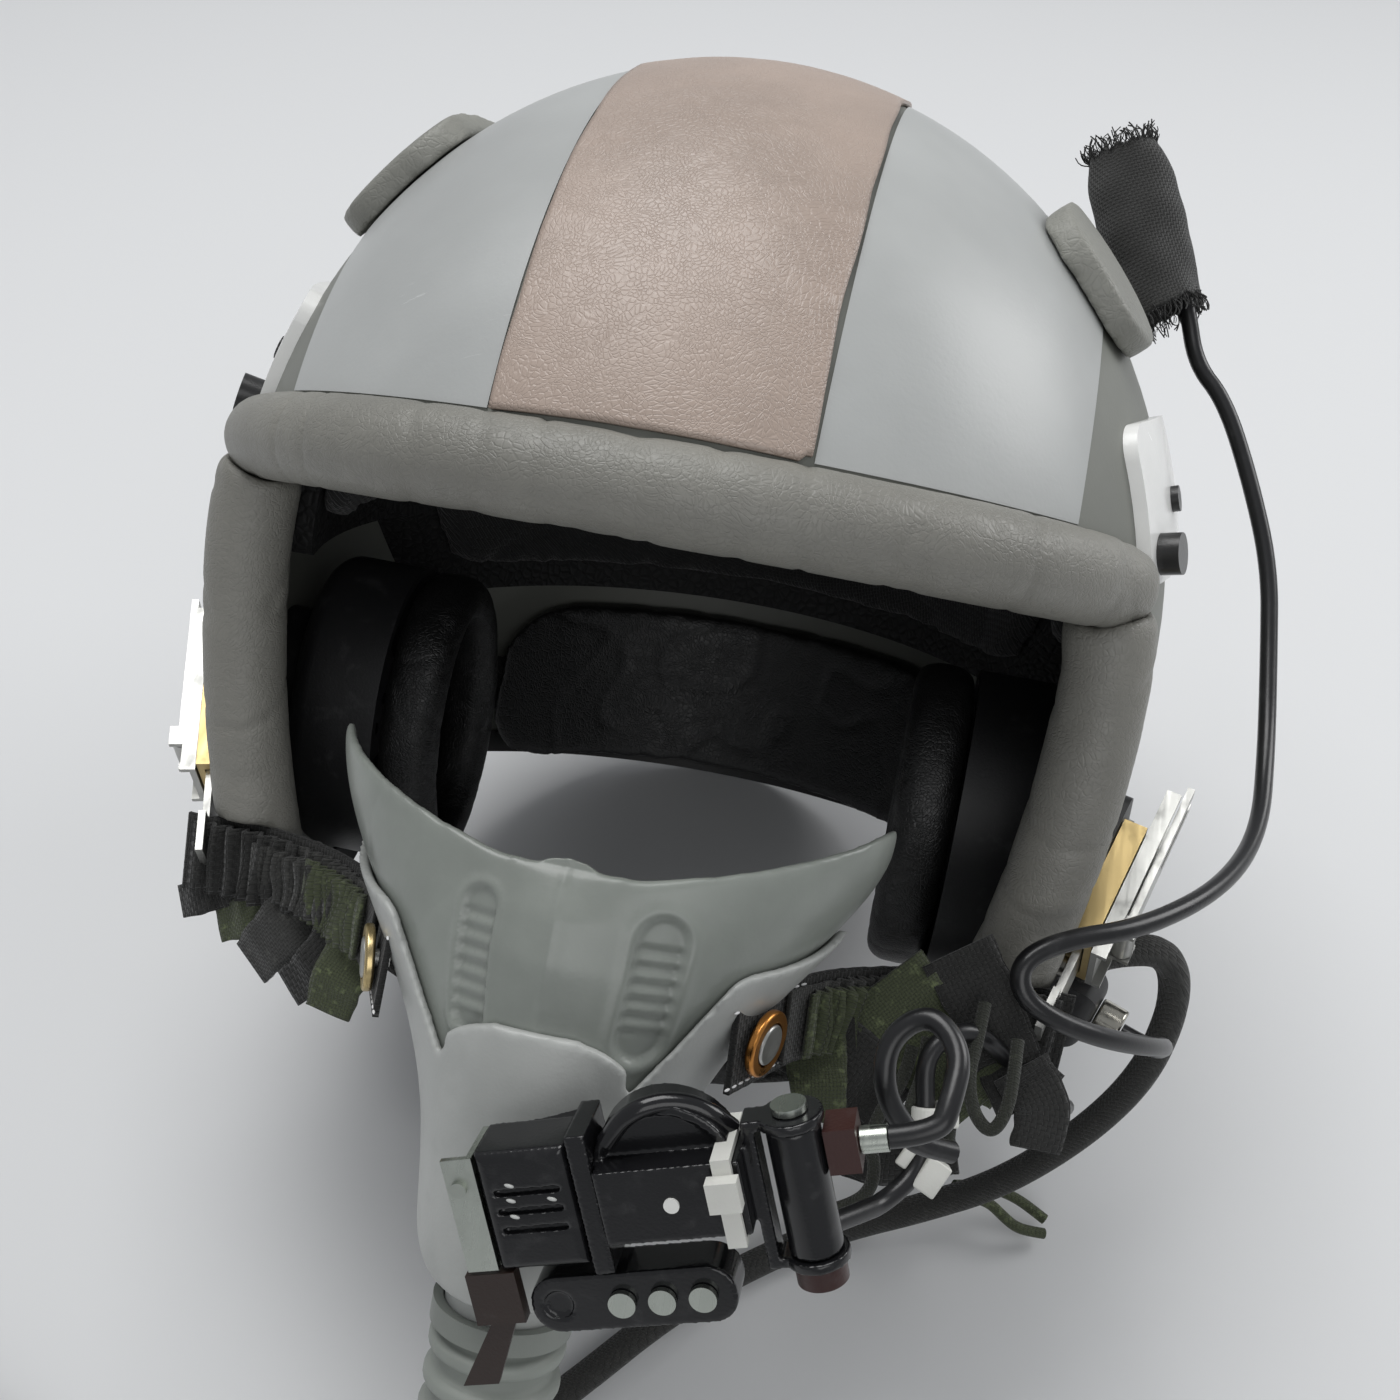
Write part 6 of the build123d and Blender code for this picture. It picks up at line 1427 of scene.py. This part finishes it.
def soft_face(rubber):
    """The facepiece with a broad nose, a faint seam down its middle and a ribbed channel on each side."""
    surface = surface_of("facepiece")
    face = soft_copy("facepiece", "soft_facepiece", rubber, "mask", 0.85, 34, (25, 25, 25), 0.12)
    toward_view = VIEW_RIGHT.cross(VIEW_UP)
    brim = broaden_nose(face)
    spots, ways = points_of(face), normals_of(face)
    facing = np.clip(ways @ np.array(NOSE_OUT) * 3, 0, 1)
    runs = spots @ np.array(NOSE_DOWN)
    fade = np.clip((TONGUE_TOP - runs) / 0.014, 0, 1) * np.clip((runs - brim) / 0.010, 0, 1)
    arch = NOSE_BUMP * fade * np.exp(-((spots[:, 0] / NOSE_SPREAD) ** 2))
    push(face, arch * facing)
    nose = (np.abs(spots[:, 0]) < NOSE_EASED) & (runs > brim + 0.002) & (runs < TONGUE_FOOT)
    ease_points(face, "nose", {
        index: min(
            1.0, (NOSE_EASED - abs(spots[index, 0])) / EASED_EDGE,
            (runs[index] - brim - 0.002) / EASED_EDGE)
        for index in np.nonzero(nose)[0]
    }, 30)
    spots, ways = points_of(face), normals_of(face)
    facing = np.clip(ways @ np.array(NOSE_OUT) * 3, 0, 1)
    push(face, SEAM_DEPTH * np.exp(-((spots[:, 0] / SEAM_WIDTH) ** 2)) * facing)
    for head, foot, half in CHANNELS:
        ends = [seen_on(surface, *pixel) for pixel in (head, foot)]
        if all(ends):
            push(face, ribbed_channel(face, *ends, half, CHANNEL_DEPTH, CHANNEL_PITCH, toward_view))


class HELMET_OT_mask(bpy.types.Operator):
    """Mask shell, facepiece, valves and fittings"""

    bl_idname = "helmet.mask"
    bl_label = "Mask"

    def execute(self, context):
        look = settings()
        plastic = moulded("mask plastic", tuple(look.mask), 0.38, 1200.0, 0.00005, 0.3)
        give(plastic, "valve_seats")
        mask_skin(plastic)
        rubber = moulded("face rubber", tuple(look.face), 0.30, 900.0, 0.00003, 0.2, 0.1)
        give(rubber, "inhale_valve", "exhale_valve")
        soft_face(rubber)
        give(moulded("neck rubber", shade(tuple(look.face), 0.8), 0.45), "neck_ring")
        give(moulded("capsule black", (0.015, 0.015, 0.015), 0.5), "microphone")
        give(plated("ring brass", (0.55, 0.43, 0.22), 0.3), "mask_ring_right")
        give(plated("ring copper", (0.62, 0.27, 0.07), 0.3), "mask_ring_left")
        give(plated("screw steel", (0.50, 0.50, 0.48), 0.35), "mask_screws")
        return {"FINISHED"}


def louvre_tips():
    """Pale tips at the slots of the unit's box: partly white plugs, partly painted highlights on the slot
    ends.
    """
    # Pale colour that stands partly for white plugs and partly for painted highlights.
    pale = moulded("louvre white and highlight", (0.55, 0.56, 0.54), 0.4)
    front = surface_of("unit_box")
    tips = []
    for across, down in LOUVRE_PIXELS:
        spot = seen_on(front, across, down)
        if spot is None:
            continue
        form = bmesh.new()
        tip = bmesh.ops.create_icosphere(form, subdivisions=2, radius=0.0006)["verts"]
        bmesh.ops.scale(form, vec=(1.7, 0.6, 0.8), verts=tip)
        bmesh.ops.translate(form, vec=spot, verts=tip)
        tips.append(new_piece("tip", mesh_of(form, "tip"), pale))
    if tips:
        marks = many(tips, "louvre_tips")
        smooth_faces(marks)
        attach(marks, "mask")


def dome_rim(gloss):
    """Raised rim round the arch of the unit's head."""
    dome = surface_of("unit_head")
    arch = [seen_on(dome, *pixel) for pixel in ARCH_PIXELS]
    arch = [spot for spot in arch if spot]
    if len(arch) > 3:
        line = centreline("dome_rim", curve_through(arch, 12), 0.0019)
        line.data.materials.append(gloss)
        rim = settle(line)
        smooth_faces(rim)
        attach(rim, "mask")


def loop_tie():
    """White cable tie round the lower feed loop."""
    tie = moulded("loop tie white", (0.62, 0.62, 0.58), 0.35, subsurface=0.1)
    middle = Vector(LOOP_LOW_ROUTE[8])
    way = (Vector(LOOP_LOW_ROUTE[9]) - Vector(LOOP_LOW_ROUTE[7])).normalized()
    turn = way.to_track_quat("Z", "Y").to_matrix().to_4x4()
    form = bmesh.new()
    sides, inner, outer, high = 28, LOOP_SIZE * 0.52, LOOP_SIZE * 0.78, 0.0016
    rings = []
    for radius, level in ((inner, -high), (outer, -high), (outer, high), (inner, high)):
        ring = []
        for spoke in range(sides):
            angle = 2 * pi * spoke / sides
            ring.append(form.verts.new((radius * cos(angle), radius * sin(angle), level)))
        rings.append(ring)
    for ring, other in zip(rings, rings[1:] + rings[:1]):
        for spoke in range(sides):
            after = (spoke + 1) % sides
            form.faces.new((ring[spoke], ring[after], other[after], other[spoke]))
    head = bmesh.ops.create_cube(form, size=1.0)["verts"]
    bmesh.ops.scale(form, vec=(0.0045, 0.0060, 0.0052), verts=head)
    bmesh.ops.translate(form, vec=(outer + 0.0012, 0, 0), verts=head)
    bmesh.ops.recalc_face_normals(form, faces=form.faces)
    bmesh.ops.transform(form, matrix=Matrix.Translation(middle) @ turn, verts=form.verts)
    band = new_piece("loop_tie", mesh_of(form, "loop_tie"), tie)
    modify(band, "edges", "BEVEL", width=SMALL_EDGE, segments=2)
    band = settle(band)
    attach(band, "mask")


class HELMET_OT_unit(bpy.types.Operator):
    """Electric unit on the mask"""

    bl_idname = "helmet.unit"
    bl_label = "Unit"

    def execute(self, context):
        gloss = moulded("unit black", (0.008, 0.008, 0.009), 0.16, 1500.0, 0.00002, 0.12)
        for node in ("unit_box", "unit_head", "unit_bar", "hinge_tube", "unit_mount"):
            eased_copy(node, node + "_eased", gloss, "mask")
        louvre_tips()
        dome_rim(gloss)
        give(moulded("dot white", (0.75, 0.75, 0.72), 0.5), "unit_dot")
        give(moulded("tie white", (0.62, 0.62, 0.58), 0.35, subsurface=0.1), "zip_tie")
        give(moulded("unit brown", (0.035, 0.010, 0.008), 0.35), "unit_brown_pieces")
        give(plated("unit steel", (0.52, 0.55, 0.50), 0.25), "unit_steel_pieces")
        give(moulded("buckle brown", (0.022, 0.012, 0.009), 0.35), "unit_buckle")
        loop_tie()
        return {"FINISHED"}


class HELMET_OT_receivers(bpy.types.Operator):
    """Mask receivers, bayonets, connector block and nut"""

    bl_idname = "helmet.receivers"
    bl_label = "Receivers"

    def execute(self, context):
        steel = plated("receiver steel", (0.42, 0.42, 0.40), 0.36)
        give(steel, "receiver_rails", "release_lever_left", "release_lever_right")
        give(steel, "bayonet_left", "bayonet_right")
        give(plated("receiver brass", (0.50, 0.38, 0.18), 0.38), "receiver_bodies")
        give(plated("small screws", (0.45, 0.44, 0.40), 0.3), "receiver_screws")
        give(plated("nut steel", (0.50, 0.48, 0.42), 0.22), "coupling_nut")
        give(moulded("base black", (0.014, 0.014, 0.015), 0.4), "receiver_bases", "comm_block")
        return {"FINISHED"}


class HELMET_PT_panel(bpy.types.Panel):
    """Lists the steps of the finish"""

    bl_idname = "HELMET_PT_panel"
    bl_label = "Helmet finish"
    bl_space_type = "VIEW_3D"
    bl_region_type = "UI"
    bl_category = "Helmet"

    def draw(self, context):
        for step in STEPS:
            self.layout.operator(step.bl_idname)
        for name in FinishSettings.__annotations__:
            self.layout.prop(context.scene.helmet_finish, name)


STEPS = (
    HELMET_OT_stage, HELMET_OT_cords, HELMET_OT_shell, HELMET_OT_rolls, HELMET_OT_patch, HELMET_OT_inside,
    HELMET_OT_sleeve, HELMET_OT_straps, HELMET_OT_mask, HELMET_OT_unit, HELMET_OT_receivers,
)
CLASSES = (FinishSettings, *STEPS, HELMET_PT_panel)


def register():
    for entry in CLASSES:
        bpy.utils.register_class(entry)
    bpy.types.Scene.helmet_finish = bpy.props.PointerProperty(type=FinishSettings)


def unregister():
    del bpy.types.Scene.helmet_finish
    for entry in reversed(CLASSES):
        bpy.utils.unregister_class(entry)


def main():
    register()
    for step in STEPS:
        group, name = step.bl_idname.split(".")
        getattr(getattr(bpy.ops, group), name)()


if __name__ == "__main__":
    main()
